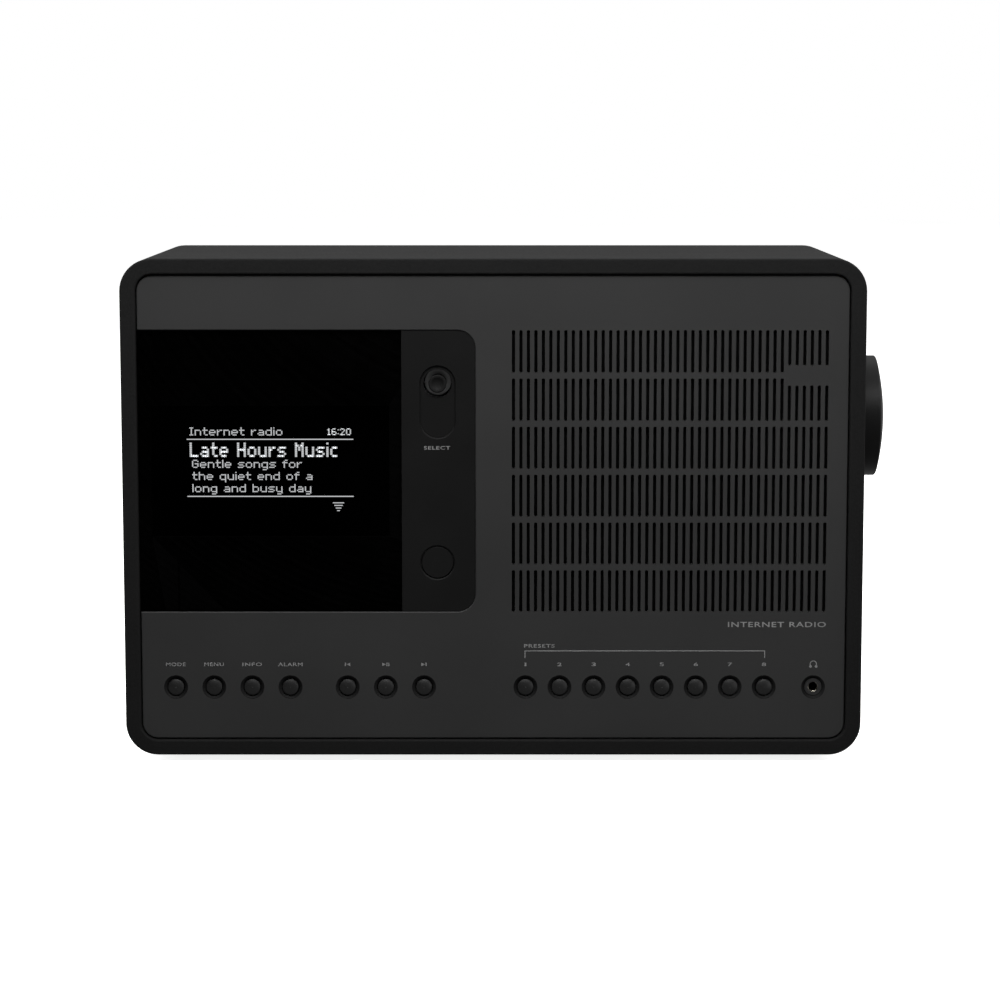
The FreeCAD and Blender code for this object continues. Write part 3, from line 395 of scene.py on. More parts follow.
# Ground steel: the joystick's ring, disc and the encoder.
GROUND_STEEL = Brushed(
    "ground_steel", "hinge_steel", "8C8C8C", "767676", 0.35, 0.08, 0.2, 0.004, metallic=1.0
)
# Steel pressing with stove enamel: the loudspeaker's basket.
ENAMELLED_STEEL = Finish(
    "stove_enamelled_steel", "basket_steel", "1B1B1B", "232323", 0.4, 0.08, 0.8, 0.02
)
# Sintered ferrite between plated plates: dull charcoal.
FERRITE = Pebbled(
    "sintered_ferrite", "magnet_iron", "2B2C2E", "37383A", 0.7, 0.1, 0.6, 0.02, metallic=0.3
)
# Felted paper pulp, dyed black: the cone.
PULP = Pebbled("dyed_paper_pulp", "cone_paper", "1F1E1D", "2A2927", 0.85, 0.08, 0.9, 0.05, specular=0.3)
# Butyl half-roll: the cone's edge.
BUTYL = Finish("butyl_rubber_roll", "surround_rubber", "141414", "1B1B1B", 0.55, 0.06, 0.5, 0.01)
# Glass-fibre laminate with green solder mask.
BOARD = Laminate("solder_masked_laminate", "circuit_board", "14482C", "0F3A23", 0.35, 0.08, 4, 0.03)
# Extruded aluminium, as drawn: the heat sink.
EXTRUSION = Brushed(
    "extruded_aluminium", "sink_aluminium", "A8AAAC", "939598", 0.4, 0.08, 0.25, 0.006, metallic=1.0,
    way=Way.Y,
)
# Epoxy mouldings of the components.
EPOXY = Pebbled("moulded_epoxy", "component_plastic", "1B1B1D", "242427", 0.5, 0.08, 0.4, 0.02)
# Glass-filled nylon: switches and sockets.
NYLON = Pebbled("glass_filled_nylon", "socket_plastic", "161616", "1C1C1C", 0.45, 0.08, 0.3, 0.015)
SWITCH_NYLON = Pebbled("switch_nylon", "switch_plastic", "202022", "2A2A2C", 0.5, 0.08, 0.3, 0.015)
# The display's own glass, dark when unlit.
DISPLAY_GLASS = Finish(
    "display_cover_glass", "display_glass", "000000", "010101", 0.1, 0.03, 1.0, 0.001, ior=1.52,
    specular=0.0,
)
# Lit display dots, a cool white dimmed by the tint in front.
LIT_DOTS = Glowing(
    "lit_display_dots", "display_glass", "E4E6E8", "DADCDE", 0.5, 0.02, 1.0, 0.001, specular=0.1,
    power=8.2,
)
# Screen-printed grey and white inks: matt, with the mesh's faint pinholes.
GREY_INK = Finish("grey_screen_ink", "panel_aluminium", "707070", "656565", 0.7, 0.08, 0.15, 0.003)
DIM_INK = Finish("dim_grey_screen_ink", "fascia_acrylic", "757575", "6A6A6A", 0.7, 0.08, 0.15, 0.003)
REAR_INK = Finish("white_screen_ink", "moulded_plastic", "B9B9B9", "ABABAB", 0.7, 0.08, 0.15, 0.003)
# Coloured plastic inserts of the two line-out sockets.
WHITE_INSERT = Finish("white_acetal", "socket_plastic", "D9D8D4", "CDCBC6", 0.4, 0.06, 0.3, 0.004)
RED_INSERT = Finish("red_acetal", "socket_plastic", "A3161B", "8E1116", 0.4, 0.06, 0.3, 0.004)
# Opal acrylic light table, sanded matt: an even pale floor that keeps only a soft contact shadow.
OPAL_FLOOR = Glowing(
    "sanded_opal_acrylic", "", "F4F4F4", "F1F1F1", 0.9, 0.05, 3, 0.01, clouds=400, specular=0.1,
    power=0.95,
)


# ---------------------------------------------------------------- mesh making


class Shape:
    """A mesh in the making, in metres."""

    def __init__(self) -> None:
        """Starts with nothing in it."""
        self.mesh = bmesh.new()

    def plate(self, outline: Sequence[Point], front: float, back: float) -> None:
        """Adds a flat plate.

        Args:
            outline: Its corners as (x, z).
            front: Its nearer y.
            back: Its further y.
        """
        rings = [[self.mesh.verts.new((x, y, z)) for x, z in outline] for y in (front, back)]
        count = len(outline)
        for i in range(count):
            j = (i + 1) % count
            self.mesh.faces.new((rings[0][i], rings[0][j], rings[1][j], rings[1][i]))
        self.mesh.faces.new(rings[0][::-1])
        self.mesh.faces.new(rings[1])

    def band(self, route: Sequence[Point], width: float, front: float, back: float) -> None:
        """Adds a flat stroke along a route with square corners and ends.

        Args:
            route: Its middle line as (x, z).
            width: Its width.
            front: Its nearer y.
            back: Its further y.
        """
        points = [Vector(p) for p in route]
        sides: list[list[Point]] = [[], []]
        for i, point in enumerate(points):
            before = (point - points[i - 1]).normalized() if i else None
            after = (points[i + 1] - point).normalized() if i + 1 < len(points) else None
            heading = ((before or after) + (after or before)).normalized()
            across = Vector((-heading.y, heading.x))
            lean = max(abs(across.dot(Vector((-(after or before).y, (after or before).x)))), 0.5)
            for side, sign in zip(sides, (1, -1)):
                side.append(tuple(point + across * (sign * width / 2 / lean)))
        self.plate(sides[0] + sides[1][::-1], front, back)

    def turned(self, profile: Sequence[Point], centre: Vector, axis: Vector, steps: int = 48) -> None:
        """Adds a closed turned ring or disc.

        Args:
            profile: The section as (radius, distance along the axis), round its outside.
            centre: The axis's start.
            axis: The axis's direction.
            steps: How many flats go round.
        """
        turn = axis.to_track_quat("Z", "Y").to_matrix()
        rings = []
        for radius, along in profile:
            if radius < 1e-7:
                rings.append([self.mesh.verts.new(centre + turn @ Vector((0, 0, along)))])
                continue
            angles = [math.tau * i / steps for i in range(steps)]
            places = [Vector((radius * math.cos(a), radius * math.sin(a), along)) for a in angles]
            rings.append([self.mesh.verts.new(centre + turn @ p) for p in places])
        pairs = list(zip(rings, rings[1:] + rings[:1]))
        for near, far in pairs:
            if len(near) == len(far) == 1:
                continue
            for i in range(steps):
                j = (i + 1) % steps
                corners = [near[i % len(near)], near[j % len(near)], far[j % len(far)], far[i % len(far)]]
                self.mesh.faces.new(list(dict.fromkeys(corners)))

    def lettering(self, text: str, centre: Point, size: Point, front: float, rear: bool = False) -> None:
        """Adds flat lettering, fitted to a width and a height.

        Args:
            text: The words.
            centre: The middle of the words as (x, z).
            size: Their width and height.
            front: The y of the surface they are printed on.
            rear: Whether they face the back.
        """
        curve = bpy.data.curves.new("lettering", "FONT")
        curve.body = text
        curve.offset = LETTER_WEIGHT
        curve.space_character = LETTER_SPACING
        curve.resolution_u = 3
        holder = bpy.data.objects.new("lettering", curve)
        bpy.context.scene.collection.objects.link(holder)
        bpy.context.view_layer.update()
        flat = bpy.data.meshes.new_from_object(holder.evaluated_get(bpy.context.evaluated_depsgraph_get()))
        bpy.data.objects.remove(holder)
        bpy.data.curves.remove(curve)
        low = Vector((min(v.co.x for v in flat.vertices), min(v.co.y for v in flat.vertices)))
        high = Vector((max(v.co.x for v in flat.vertices), max(v.co.y for v in flat.vertices)))
        scale = size[0] / (high.x - low.x), size[1] / (high.y - low.y)
        middle = (low + high) / 2
        side = -1 if rear else 1
        letters = bmesh.new()
        letters.from_mesh(flat)
        bpy.data.meshes.remove(flat)
        for vertex in letters.verts:
            x = (vertex.co.x - middle.x) * scale[0] * side + centre[0]
            z = (vertex.co.y - middle.y) * scale[1] + centre[1]
            vertex.co = (x, front, z)
        made = bmesh.ops.extrude_face_region(letters, geom=letters.faces[:])
        lift = Vector((0, -side * INK_THICKNESS, 0))
        raised = [v for v in made["geom"] if isinstance(v, bmesh.types.BMVert)]
        bmesh.ops.translate(letters, vec=lift, verts=raised)
        joined = bpy.data.meshes.new("letters")
        letters.to_mesh(joined)
        letters.free()
        self.mesh.from_mesh(joined)
        bpy.data.meshes.remove(joined)

    def finished(self, name: str) -> bpy.types.Object:
        """Closes the mesh and makes an object of it.

        Args:
            name: The piece's name.

        Returns:
            The object, in the scene.
        """
        bmesh.ops.recalc_face_normals(self.mesh, faces=self.mesh.faces[:])
        data = bpy.data.meshes.new(name)
        self.mesh.to_mesh(data)
        self.mesh.free()
        made = bpy.data.objects.new(name, data)
        bpy.context.scene.collection.objects.link(made)
        return made


def middle_of(node: str) -> Vector:
    """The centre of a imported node's box."""
    low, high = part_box(node)
    return (low + high) / 2


def circle(
    centre: Point, radius: float, start: float = 0.0, end: float = math.tau, steps: int = 24
) -> list[Point]:
    """Points on an arc.

    Args:
        centre: The arc's centre as (x, z).
        radius: Its radius.
        start: Its first angle.
        end: Its last angle, left out when the arc is a whole circle.
        steps: How many flats it has.

    Returns:
        The points in order.
    """
    whole = end - start > math.tau - 1e-6
    count = steps if whole else steps + 1
    angles = [start + (end - start) * i / steps for i in range(count)]
    return [(centre[0] + radius * math.cos(a), centre[1] + radius * math.sin(a)) for a in angles]


@dataclass
class Workbench:
    """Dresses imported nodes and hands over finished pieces.

    Attributes:
        nodes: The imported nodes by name.
    """

    nodes: dict[str, bpy.types.Object]

    def dress(self, finish: Finish, *names: str) -> None:
        """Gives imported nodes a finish.

        Args:
            finish: The finish.
            names: The nodes' names.
        """
        for name in names:
            node = self.nodes[name]
            for place in node.material_slots:
                place.material = finish.material()
            if not node.material_slots:
                node.data.materials.append(finish.material())
            LOG.info("dressed %s in %s", name, finish.name)

    def piece(
        self, shape: Shape, name: str, body: str, finish: Finish, smooth: bool = False
    ) -> bpy.types.Object:
        """Finishes a piece and lets it ride on a body.

        Args:
            shape: Its mesh.
            name: Its name.
            body: The body it moves with.
            finish: Its finish.
            smooth: Whether its faces shade into each other.

        Returns:
            The piece.
        """
        made = shape.finished(name)
        made.data.materials.append(finish.material())
        if smooth:
            made.data.shade_smooth()
        else:
            made.data.shade_flat()
        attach(made, body)
        LOG.info("made %s, %d faces", name, len(made.data.polygons))
        return made


# ---------------------------------------------------------------- cabinet


@dataclass
class Cabinet:
    """The wrapped sleeve, its battens and its rubber feet."""

    bench: Workbench

    def build(self) -> None:
        """Dresses the cabinet's own nodes."""
        self.bench.dress(BLACK_FOIL, "cabinet")
        self.bench.dress(MOULDED_RUBBER, "feet")
        self.bench.dress(PLANED_PINE, "corner_battens")


# ---------------------------------------------------------------- front


@dataclass
class FrontPanel:
    """The panel, window, fascia and grille, with their screen printing.

    Attributes:
        legend_rise: How far the words stand above the keys' centres.
        legend_height: The height of the capitals over the keys.
        legend_width: The width of one capital over the keys.
        digit_height: The height of the preset numbers.
        bracket_rise: How far the bracket over the presets stands above their centres.
        bracket_drop: How far its ends come down.
        line_width: The bracket's line.
        dish_radius: The outer radius of the dish round each key.
        hole_radius: The radius of each key's hole.
        dish_slope: The angle between the dish's wall and the key's axis, in degrees.
        lip: How far a bezel's rim laps onto the panel's face.
        skin: How thick a bezel is.
    """

    bench: Workbench
    legend_rise: float = 8.2 * MM
    legend_height: float = 1.3 * MM
    legend_width: float = 1.75 * MM
    digit_height: float = 1.275 * MM
    bracket_rise: float = 13.1 * MM
    bracket_drop: float = 2.6 * MM
    line_width: float = 0.32 * MM
    dish_radius: float = 4.15 * MM
    hole_radius: float = 3.1 * MM
    dish_slope: float = 50.0
    lip: float = 0.12 * MM
    skin: float = 0.03 * MM
    face: float = field(init=False)
    key_z: float = field(init=False)

    def __post_init__(self) -> None:
        """Reads the panel's face and the key row's height from the frame."""
        self.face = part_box("front_panel")[0].y
        self.key_z = middle_of("button_mode").z

    def build(self) -> None:
        """Dresses the front's nodes and prints the panel."""
        self.bench.dress(BLACK_ANODISED, "front_panel")
        self.bench.dress(SMOKED_ACRYLIC, "display_window")
        self.bench.dress(MATT_ACRYLIC, "control_fascia", "remote_window")
        self.bench.dress(ERODED_ABS, "front_baffle")
        self.bench.dress(ZINC_STEEL, "baffle_screws")
        self.bench.dress(ACOUSTIC_CLOTH, "grille_cloth")
        self.line_key_dishes()
        self.print_function_words()
        self.print_transport_signs()
        self.print_presets()
        self.print_headphones()
        self.print_model_words()
        self.print_select()

    def line_key_dishes(self) -> None:
        """Lines the dish round each key and the headphone hole with a thin black bezel, whose black paints
        shade into the dishes and hides the highlight their lower rims would catch.
        """
        lining = Shape()
        outer, inner, skin = self.dish_radius, self.hole_radius, self.skin
        depth = (outer - inner) / math.tan(math.radians(self.dish_slope))
        profile = [(outer + self.lip, 0.0), (outer, 0.0), (inner, depth)]
        profile += [(inner - skin, depth), (inner - skin, depth - skin)]
        profile += [(outer, -skin), (outer + self.lip, -skin)]
        for name in [*(n for n in self.bench.nodes if n.startswith("button_")), "headphone_socket"]:
            place = Vector((middle_of(name).x, self.face, self.key_z))
            lining.turned(profile, place, Vector((0, 1, 0)), 40)
        # The bezels' dead black is painted shade: it darkens the dishes and hides their lit lower rims.
        self.bench.piece(lining, "key_bezels_painted_shade", "housing", MATT_ABS)

    def print_function_words(self) -> None:
        """Prints a word over each function key."""
        ink = Shape()
        for word in ("mode", "menu", "info", "alarm"):
            x = middle_of(f"button_{word}").x
            width = self.legend_width * len(word)
            centre = (x, self.key_z + self.legend_rise)
            ink.lettering(word.upper(), centre, (width, self.legend_height), self.face)
        self.bench.piece(ink, "function_words", "housing", GREY_INK)

    def print_transport_signs(self) -> None:
        """Prints the skip-back, play-pause and skip-forward signs."""
        ink = Shape()
        z = self.key_z + self.legend_rise
        half, arrow, bar, gap = 0.65 * MM, 1.3 * MM, 0.4 * MM, 0.25 * MM
        front, back = self.face - INK_THICKNESS, self.face
        for key, signs in (("previous", "|<"), ("play", ">||"), ("next", ">|")):
            widths = [arrow if sign in "<>" else bar for sign in signs]
            x = middle_of(f"button_{key}").x - (sum(widths) + gap * (len(signs) - 1)) / 2
            for sign, width in zip(signs, widths):
                outline = {
                    "|": [(x, z - half), (x + width, z - half), (x + width, z + half), (x, z + half)],
                    ">": [(x, z - half), (x + width, z), (x, z + half)],
                    "<": [(x + width, z - half), (x + width, z + half), (x, z)],
                }[sign]
                ink.plate(outline, front, back)
                x += width + gap
        self.bench.piece(ink, "transport_signs", "housing", GREY_INK)

    def print_presets(self) -> None:
        """Prints the preset numbers, the bracket that gathers them and its word."""
        ink = Shape()
        places = [middle_of(f"button_preset_{i}").x for i in range(1, 9)]
        narrow, wide = 0.675 * MM, 1.575 * MM
        for number, x in enumerate(places, start=1):
            centre = (x, self.key_z + self.legend_rise)
            width = narrow if number == 1 else wide
            ink.lettering(str(number), centre, (width, self.digit_height), self.face)
        top = self.key_z + self.bracket_rise
        low = top - self.bracket_drop
        overhang = 0.2 * MM
        left, right = places[0] - overhang, places[-1] + overhang
        route = [(left, low), (left, top), (right, top), (right, low)]
        ink.band(route, self.line_width, self.face - INK_THICKNESS, self.face)
        width, outset, rise = 10.9 * MM, 0.3 * MM, 1.8 * MM
        centre = (left - outset + width / 2, top + rise)
        ink.lettering("PRESETS", centre, (width, self.legend_height), self.face)
        self.bench.piece(ink, "preset_printing", "housing", GREY_INK)

    def print_headphones(self) -> None:
        """Prints the headphone sign: a headband over two ear pads."""
        ink = Shape()
        x, z = middle_of("headphone_socket").x, self.key_z + self.legend_rise
        front, back = self.face - INK_THICKNESS, self.face
        radius, rise, line, droop = 1.15 * MM, 0.1 * MM, 0.3 * MM, 0.35
        headband = circle((x, z + rise), radius, -droop, math.pi + droop, 16)
        ink.band(headband, line, front, back)
        pad_radius, pad_out, pad_drop = 0.5 * MM, 1.0 * MM, 0.75 * MM
        for side in (-1, 1):
            pad = circle((x + side * pad_out, z - pad_drop), pad_radius, steps=12)
            ink.plate(pad, front - INK_THICKNESS / 4, back)
        self.bench.piece(ink, "headphone_sign", "housing", GREY_INK)

    def print_model_words(self) -> None:
        """Prints what the radio is, flush with the grille's lower right corner."""
        ink = Shape()
        low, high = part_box("grille_cloth")
        width, height, inset, drop = 35 * MM, 1.9 * MM, 0.3 * MM, 3.85 * MM
        centre = (high.x - inset - width / 2, low.z - drop)
        ink.lettering("INTERNET RADIO", centre, (width, height), self.face)
        self.bench.piece(ink, "model_words", "housing", GREY_INK)

    def print_select(self) -> None:
        """Prints the word under the joystick."""
        ink = Shape()
        stick = middle_of("joystick_stick")
        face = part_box("control_fascia")[0].y
        width, height, shift, drop = 9.3 * MM, 1.25 * MM, 0.2 * MM, 22.85 * MM
        ink.lettering("SELECT", (stick.x - shift, stick.z - drop), (width, height), face)
        self.bench.piece(ink, "select_word", "housing", DIM_INK)


# ---------------------------------------------------------------- display

# Letters on a grid of dots, row by row from the top. The seventh row stands on the base line, and letters
# with tails have nine rows.
BASE_ROW = 6
STAND_OFF = 0.02 * MM
GLYPHS = {
    "H": "#...# #...# #...# ##### #...# #...# #...#",
    "I": "### .#. .#. .#. .#. .#. ###",
    "L": "#.... #.... #.... #.... #.... #.... #####",
    "M": "#...# ##.## #.#.# #.#.# #...# #...# #...#",
    "G": ".###. #...# #.... #.### #...# #...# .###.",
    "a": "..... ..... .###. ....# .#### #...# .####",
    "b": "#.... #.... ####. #...# #...# #...# ####.",
    "c": "..... ..... .###. #.... #.... #.... .###.",
    "d": "....# ....# .#### #...# #...# #...# .####",
    "e": "..... ..... .###. #...# ##### #.... .###.",
    "f": "..## .#.. #### .#.. .#.. .#.. .#..",
    "g": "..... ..... .#### #...# #...# #...# .#### ....# .###.",
    "h": "#.... #.... ####. #...# #...# #...# #...#",
    "i": "# . # # # # #",
    "l": "# # # # # # #",
    "n": "..... ..... ####. #...# #...# #...# #...#",
    "o": "..... ..... .###. #...# #...# #...# .###.",
    "q": "..... ..... .#### #...# #...# #...# .#### ....# ....#",
    "r": ".... .... #.## ##.. #... #... #...",
    "s": "..... ..... .#### #.... .###. ....# ####.",
    "t": ".#.. .#.. #### .#.. .#.. .#.. ..##",
    "u": "..... ..... #...# #...# #...# #...# .####",
    "y": "..... ..... #...# #...# #...# #...# .#### ....# .###.",
    "0": ".###. #...# #...# #...# #...# #...# .###.",
    "1": ".#. ##. .#. .#. .#. .#. ###",
    "2": ".###. #...# ....# ...#. ..#.. .#... #####",
    "6": ".###. #.... #.... ####. #...# #...# .###.",
    ":": ". # . . . # .",
    " ": "... ... ... ... ... ... ...",
}


@dataclass(frozen=True)
class Row:
    """A row of the display's page.

    Attributes:
        words: What it says.
        inset: How far it starts from the rules' left end.
        rise: How far its base line stands above the page's middle.
        across: Its dots' pitch across, in dots.
        up: Its dots' pitch up, in dots.
        bold: Whether its strokes are drawn heavier.
    """

    words: str
    inset: float
    rise: float
    across: float = 1.12
    up: float = 1.0
    bold: bool = False


PAGE = (
    Row("Internet radio", 1.0 * MM, 12.75 * MM),
    Row("16:20", 49.9 * MM, 12.9 * MM, 0.82, 0.82, bold=True),
    Row("Late Hours Music", 1.0 * MM, 5.1 * MM, 1.41, 1.78, bold=True),
    Row("Gentle songs for", 1.8 * MM, 1.2 * MM),
    Row("the quiet end of a", 1.8 * MM, -3.15 * MM),
    Row("long and busy day", 1.8 * MM, -7.5 * MM),
)


@dataclass
class Display:
    """The dot display behind the window, with a menu page of generic words.

    Attributes:
        dot: The pitch of the body text's dots.
        depth: The thickness of a lit dot.
        fill: A dot's width and height, in pitches.
        bold_fill: A heavy dot's width, in pitches.
        bold_gap: The further gap after a heavy letter, in pitches.
        width: The width of the page's rules.
        rule: The height of a rule.
        rules: How far the rules stand above the page's middle.
        arrow_inset: How far the scroll arrow's middle lies from the rules' right end.
        arrow_rise: How far its top bar stands above the page's middle.
        arrow_halves: Half the width of each of its bars, from the top.
        arrow_pitch: The bars' pitch.
        arrow_bar: The height of a bar.
    """

    bench: Workbench
    dot: float = 0.415 * MM
    depth: float = 0.015 * MM
    fill: Point = (0.88, 0.9)
    bold_fill: float = 1.3
    bold_gap: float = 0.35
    width: float = 59.1 * MM
    rule: float = 0.35275 * MM
    rules: Point = (11.2 * MM, -9.2 * MM)
    arrow_inset: float = 5.4 * MM
    arrow_rise: float = -11.5 * MM
    arrow_halves: tuple[float, ...] = (2.0 * MM, 1.5 * MM, 1.0 * MM, 0.5 * MM)
    arrow_pitch: float = 0.93 * MM
    arrow_bar: float = 0.32 * MM
    face: float = field(init=False)
    left: float = field(init=False)
    middle: float = field(init=False)

    def __post_init__(self) -> None:
        """Reads the display's face from the frame."""
        low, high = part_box("display_module")
        self.face = low.y - STAND_OFF
        self.left = (low.x + high.x) / 2 - self.width / 2
        self.middle = (low.z + high.z) / 2

    def write(self, shape: Shape, row: Row) -> None:
        """Writes a row of dot letters.

        Args:
            shape: The mesh to add to.
            row: What to write, and where.
        """
        x, base = self.left + row.inset, self.middle + row.rise
        across, up = self.dot * row.across, self.dot * row.up
        fill = self.bold_fill if row.bold else self.fill[0]
        gap = 1 + (self.bold_gap if row.bold else 0)
        for letter in row.words:
            lines = GLYPHS[letter].split()
            lit = sorted((c, r) for r, line in enumerate(lines) for c, mark in enumerate(line) if mark == "#")
            for column, line in lit:
                corner = (x + column * across, base + (BASE_ROW - line) * up)
                self.light(shape, corner, (across * fill, up * self.fill[1]))
            x += (len(lines[0]) + gap) * across

    def light(self, shape: Shape, corner: Point, size: Point) -> None:
        """Lights one dot or bar.

        Args:
            shape: The mesh to add to.
            corner: Its lower left corner as (x, z).
            size: Its width and height.
        """
        x, z = corner
        outline = [(x, z), (x + size[0], z), (x + size[0], z + size[1]), (x, z + size[1])]
        shape.plate(outline, self.face, self.face + self.depth)

    def build(self) -> None:
        """Dresses the module and lights its page: the rows, two rules and the scroll arrow."""
        self.bench.dress(DISPLAY_GLASS, "display_module")
        page = Shape()
        for row in PAGE:
            self.write(page, row)
        for rise in self.rules:
            self.light(page, (self.left, self.middle + rise), (self.width, self.rule))
        centre = self.left + self.width - self.arrow_inset
        for step, half in enumerate(self.arrow_halves):
            corner = (centre - half, self.middle + self.arrow_rise - self.arrow_pitch * step)
            self.light(page, corner, (2 * half, self.arrow_bar))
        self.bench.piece(page, "display_page", "housing", LIT_DOTS)


# ---------------------------------------------------------------- controls


@dataclass
class Controls:
    """The buttons, joystick and volume control, with the standby sign on the knob.

    Attributes:
        ring: The radius of the sign's ring.
        ring_gap: Half the angle that the ring leaves open at the top, in degrees.
        bar: How far above the knob's centre the sign's bar starts and ends.
        line: The width of the sign's lines.
        sunk: How far the sign starts under the knob's highest point.
    """

    bench: Workbench
    ring: float = 2.4 * MM
    ring_gap: float = 35.0
    bar: Point = (0.5 * MM, 3.1 * MM)
    line: float = 0.45 * MM
    sunk: float = 0.035 * MM

    def build(self) -> None:
        """Dresses every control and what it works."""
        keys = [name for name in self.bench.nodes if name.startswith("button_")]
        self.bench.dress(LACQUERED_ABS, *keys)
        self.bench.dress(MATT_ABS, "joystick_rocker", "joystick_stick")
        self.bench.dress(SWITCH_NYLON, "key_switches", "joystick_base", "encoder_plunger")
        self.bench.dress(GROUND_STEEL, "joystick_gimbal", "volume_encoder")
        self.bench.dress(LACQUERED_KNOB, "volume_knob")
        self.bench.dress(TURNED_BRASS, "volume_shaft")
        self.bench.dress(ZINC_STEEL, "encoder_nut")
        self.print_standby()

    def print_standby(self) -> None:
        """Prints the standby sign on the knob's face: a broken ring and a bar."""
        centre = middle_of("volume_knob")
        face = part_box("volume_knob")[1].x - self.sunk
        sign = Shape()
        gap = math.radians(self.ring_gap)
        ring = circle((0, 0), self.ring, math.pi / 2 + gap, math.pi * 5 / 2 - gap, 28)
        sign.band(ring, self.line, 0, INK_THICKNESS)
        sign.band([(0, end) for end in self.bar], self.line, 0, INK_THICKNESS)
        for vertex in sign.mesh.verts:
            across, out, up = vertex.co
            vertex.co = (face + out, centre.y + across, centre.z + up)
        self.bench.piece(sign, "standby_sign", "knob", GREY_INK)


# ---------------------------------------------------------------- sockets and electronics


@dataclass
class Sockets:
    """The sockets, with the plated linings, contacts and coloured inserts that a plug meets.

    Attributes:
        bore: The radius of the 3.5 mm sockets' bores.
        pin_hole: The radius of the hole in each line-out socket.
        collar: The outer radius of the line-out collars.
        half_block: Half the width of the block behind each line-out collar.
        block_rise: How far the blocks' tops stand above the rear sockets' centres.
        inlet_rise: How far the auxiliary socket's centre stands above the power inlet's middle.
    """

    bench: Workbench
    bore: float = 1.8 * MM
    pin_hole: float = 1.65 * MM
    collar: float = 4.15 * MM
    half_block: float = 6.0 * MM
    block_rise: float = 6.5 * MM
    inlet_rise: float = 0.75 * MM

    def build(self) -> None:
        """Dresses the sockets and fits their small parts."""
        self.bench.dress(NYLON, "headphone_socket", "aux_socket", "power_inlet")
        self.bench.dress(NICKEL_BRASS, "line_out_sockets")
        self.bench.dress(TINNED_SHEET, "ethernet_socket")
        self.line_jack("headphone_socket", "headphone_lining", 1)
        self.line_jack("aux_socket", "aux_lining", -1)
        self.ring_line_outs()
        self.sleeve_power_pin()
        self.fit_network_contacts()

    def line_jack(self, node: str, name: str, inward: int) -> None:
        """Lines a jack's bore with a plated tube.

        Args:
            node: The socket's node.
            name: The lining's name.
            inward: 1 where the bore runs towards the back, -1 where it runs towards the front.
        """
        low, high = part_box(node)
        centre = middle_of(node)
        z = middle_of("button_mode").z if inward > 0 else middle_of("power_inlet").z + self.inlet_rise
        mouth = Vector((centre.x, low.y if inward > 0 else high.y, z))
        start, end, wall, flare = 0.5 * MM, 6 * MM, 0.2 * MM, 0.3 * MM
        profile = [(self.bore, start), (self.bore, end), (self.bore - wall, end)]
        profile += [(self.bore - wall, start + flare), (self.bore - wall / 2, start)]
        lining = Shape()
        lining.turned(profile, mouth, Vector((0, inward, 0)), 32)
        self.bench.piece(lining, name, "housing", NICKEL_BRASS, smooth=True)

    def ring_line_outs(self) -> None:
        """Fits a white and a red insert to the line-out collars' faces."""
        low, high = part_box("line_out_sockets")
        left, right = low.x + self.half_block, high.x - self.half_block
        inner, outer = self.pin_hole + 0.1 * MM, self.collar - 0.6 * MM
        thick, shoulder = 0.45 * MM, 0.25 * MM
        profile = [(inner, 0.0), (outer, 0.0), (outer, shoulder), (outer - 0.3 * MM, thick)]
        profile += [(inner + 0.2 * MM, thick), (inner, 0.3 * MM)]
        for colour, x, finish in (("white", left, WHITE_INSERT), ("red", right, RED_INSERT)):
            insert = Shape()
            insert.turned(profile, Vector((x, high.y, self.socket_height())), Vector((0, 1, 0)), 40)
            self.bench.piece(insert, f"line_out_insert_{colour}", "housing", finish)

    def socket_height(self) -> float:
        """The height of the rear sockets' centres, under the tops of the line-out blocks."""
        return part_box("line_out_sockets")[1].z - self.block_rise

    def sleeve_power_pin(self) -> None:
        """Fits a plated sleeve over the power inlet's centre pin."""
        sleeve = Shape()
        outer, inner, tip, end, cap = 1.08 * MM, 1.0 * MM, 0.6 * MM, 8.9 * MM, 0.1 * MM
        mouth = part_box("power_inlet")[1].y
        start = Vector((middle_of("power_inlet").x, mouth - end, self.socket_height()))
        profile = [(outer, 0.0), (outer, end - 0.4 * MM), (tip, end + cap), (0.0, end + cap)]
        profile += [(0.0, end), (inner, end - 0.6 * MM), (inner, 0.0)]
        sleeve.turned(profile, start, Vector((0, 1, 0)), 28)
        self.bench.piece(sleeve, "power_pin_sleeve", "housing", NICKEL_BRASS, smooth=True)

    def fit_network_contacts(self) -> None:
        """Fits the eight sprung contacts that slope up from the network socket's floor."""
        low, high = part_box("ethernet_socket")
        pitch, wire, count = 1.02 * MM, 0.4 * MM, 8
        floor, mouth = low.z + 2.2 * MM, high.y
        near, far, climb = mouth - 2.5 * MM, mouth - 12 * MM, 2.6 * MM
        middle = (low.x + high.x) / 2
        contacts = Shape()
        for index in range(count):
            x = middle + pitch * (index - (count - 1) / 2)
            left, right = x - wire / 2, x + wire / 2
            corners = [(left, near, floor), (right, near, floor)]
            corners += [(right, far, floor + climb), (left, far, floor + climb)]
            lower = [contacts.mesh.verts.new(corner) for corner in corners]
            upper = [contacts.mesh.verts.new((x, y, z + wire)) for x, y, z in corners]
            contacts.mesh.faces.new(lower)
            contacts.mesh.faces.new(upper[::-1])
            for a, b in ((0, 1), (1, 2), (2, 3), (3, 0)):
                contacts.mesh.faces.new((lower[a], upper[a], upper[b], lower[b]))
        self.bench.piece(contacts, "network_contacts", "housing", GOLD_CONTACT)


@dataclass
class Electronics:
    """The circuit boards and what stands on them, seen through the vents and the port."""

    bench: Workbench

    def build(self) -> None:
        """Dresses the boards and components."""
        self.bench.dress(BOARD, "main_board", "key_board")
        self.bench.dress(TINNED_SHEET, "network_module")
        self.bench.dress(EXTRUSION, "heat_sink")
        self.bench.dress(EPOXY, "board_components")
        self.bench.dress(SWITCH_NYLON, "board_posts")


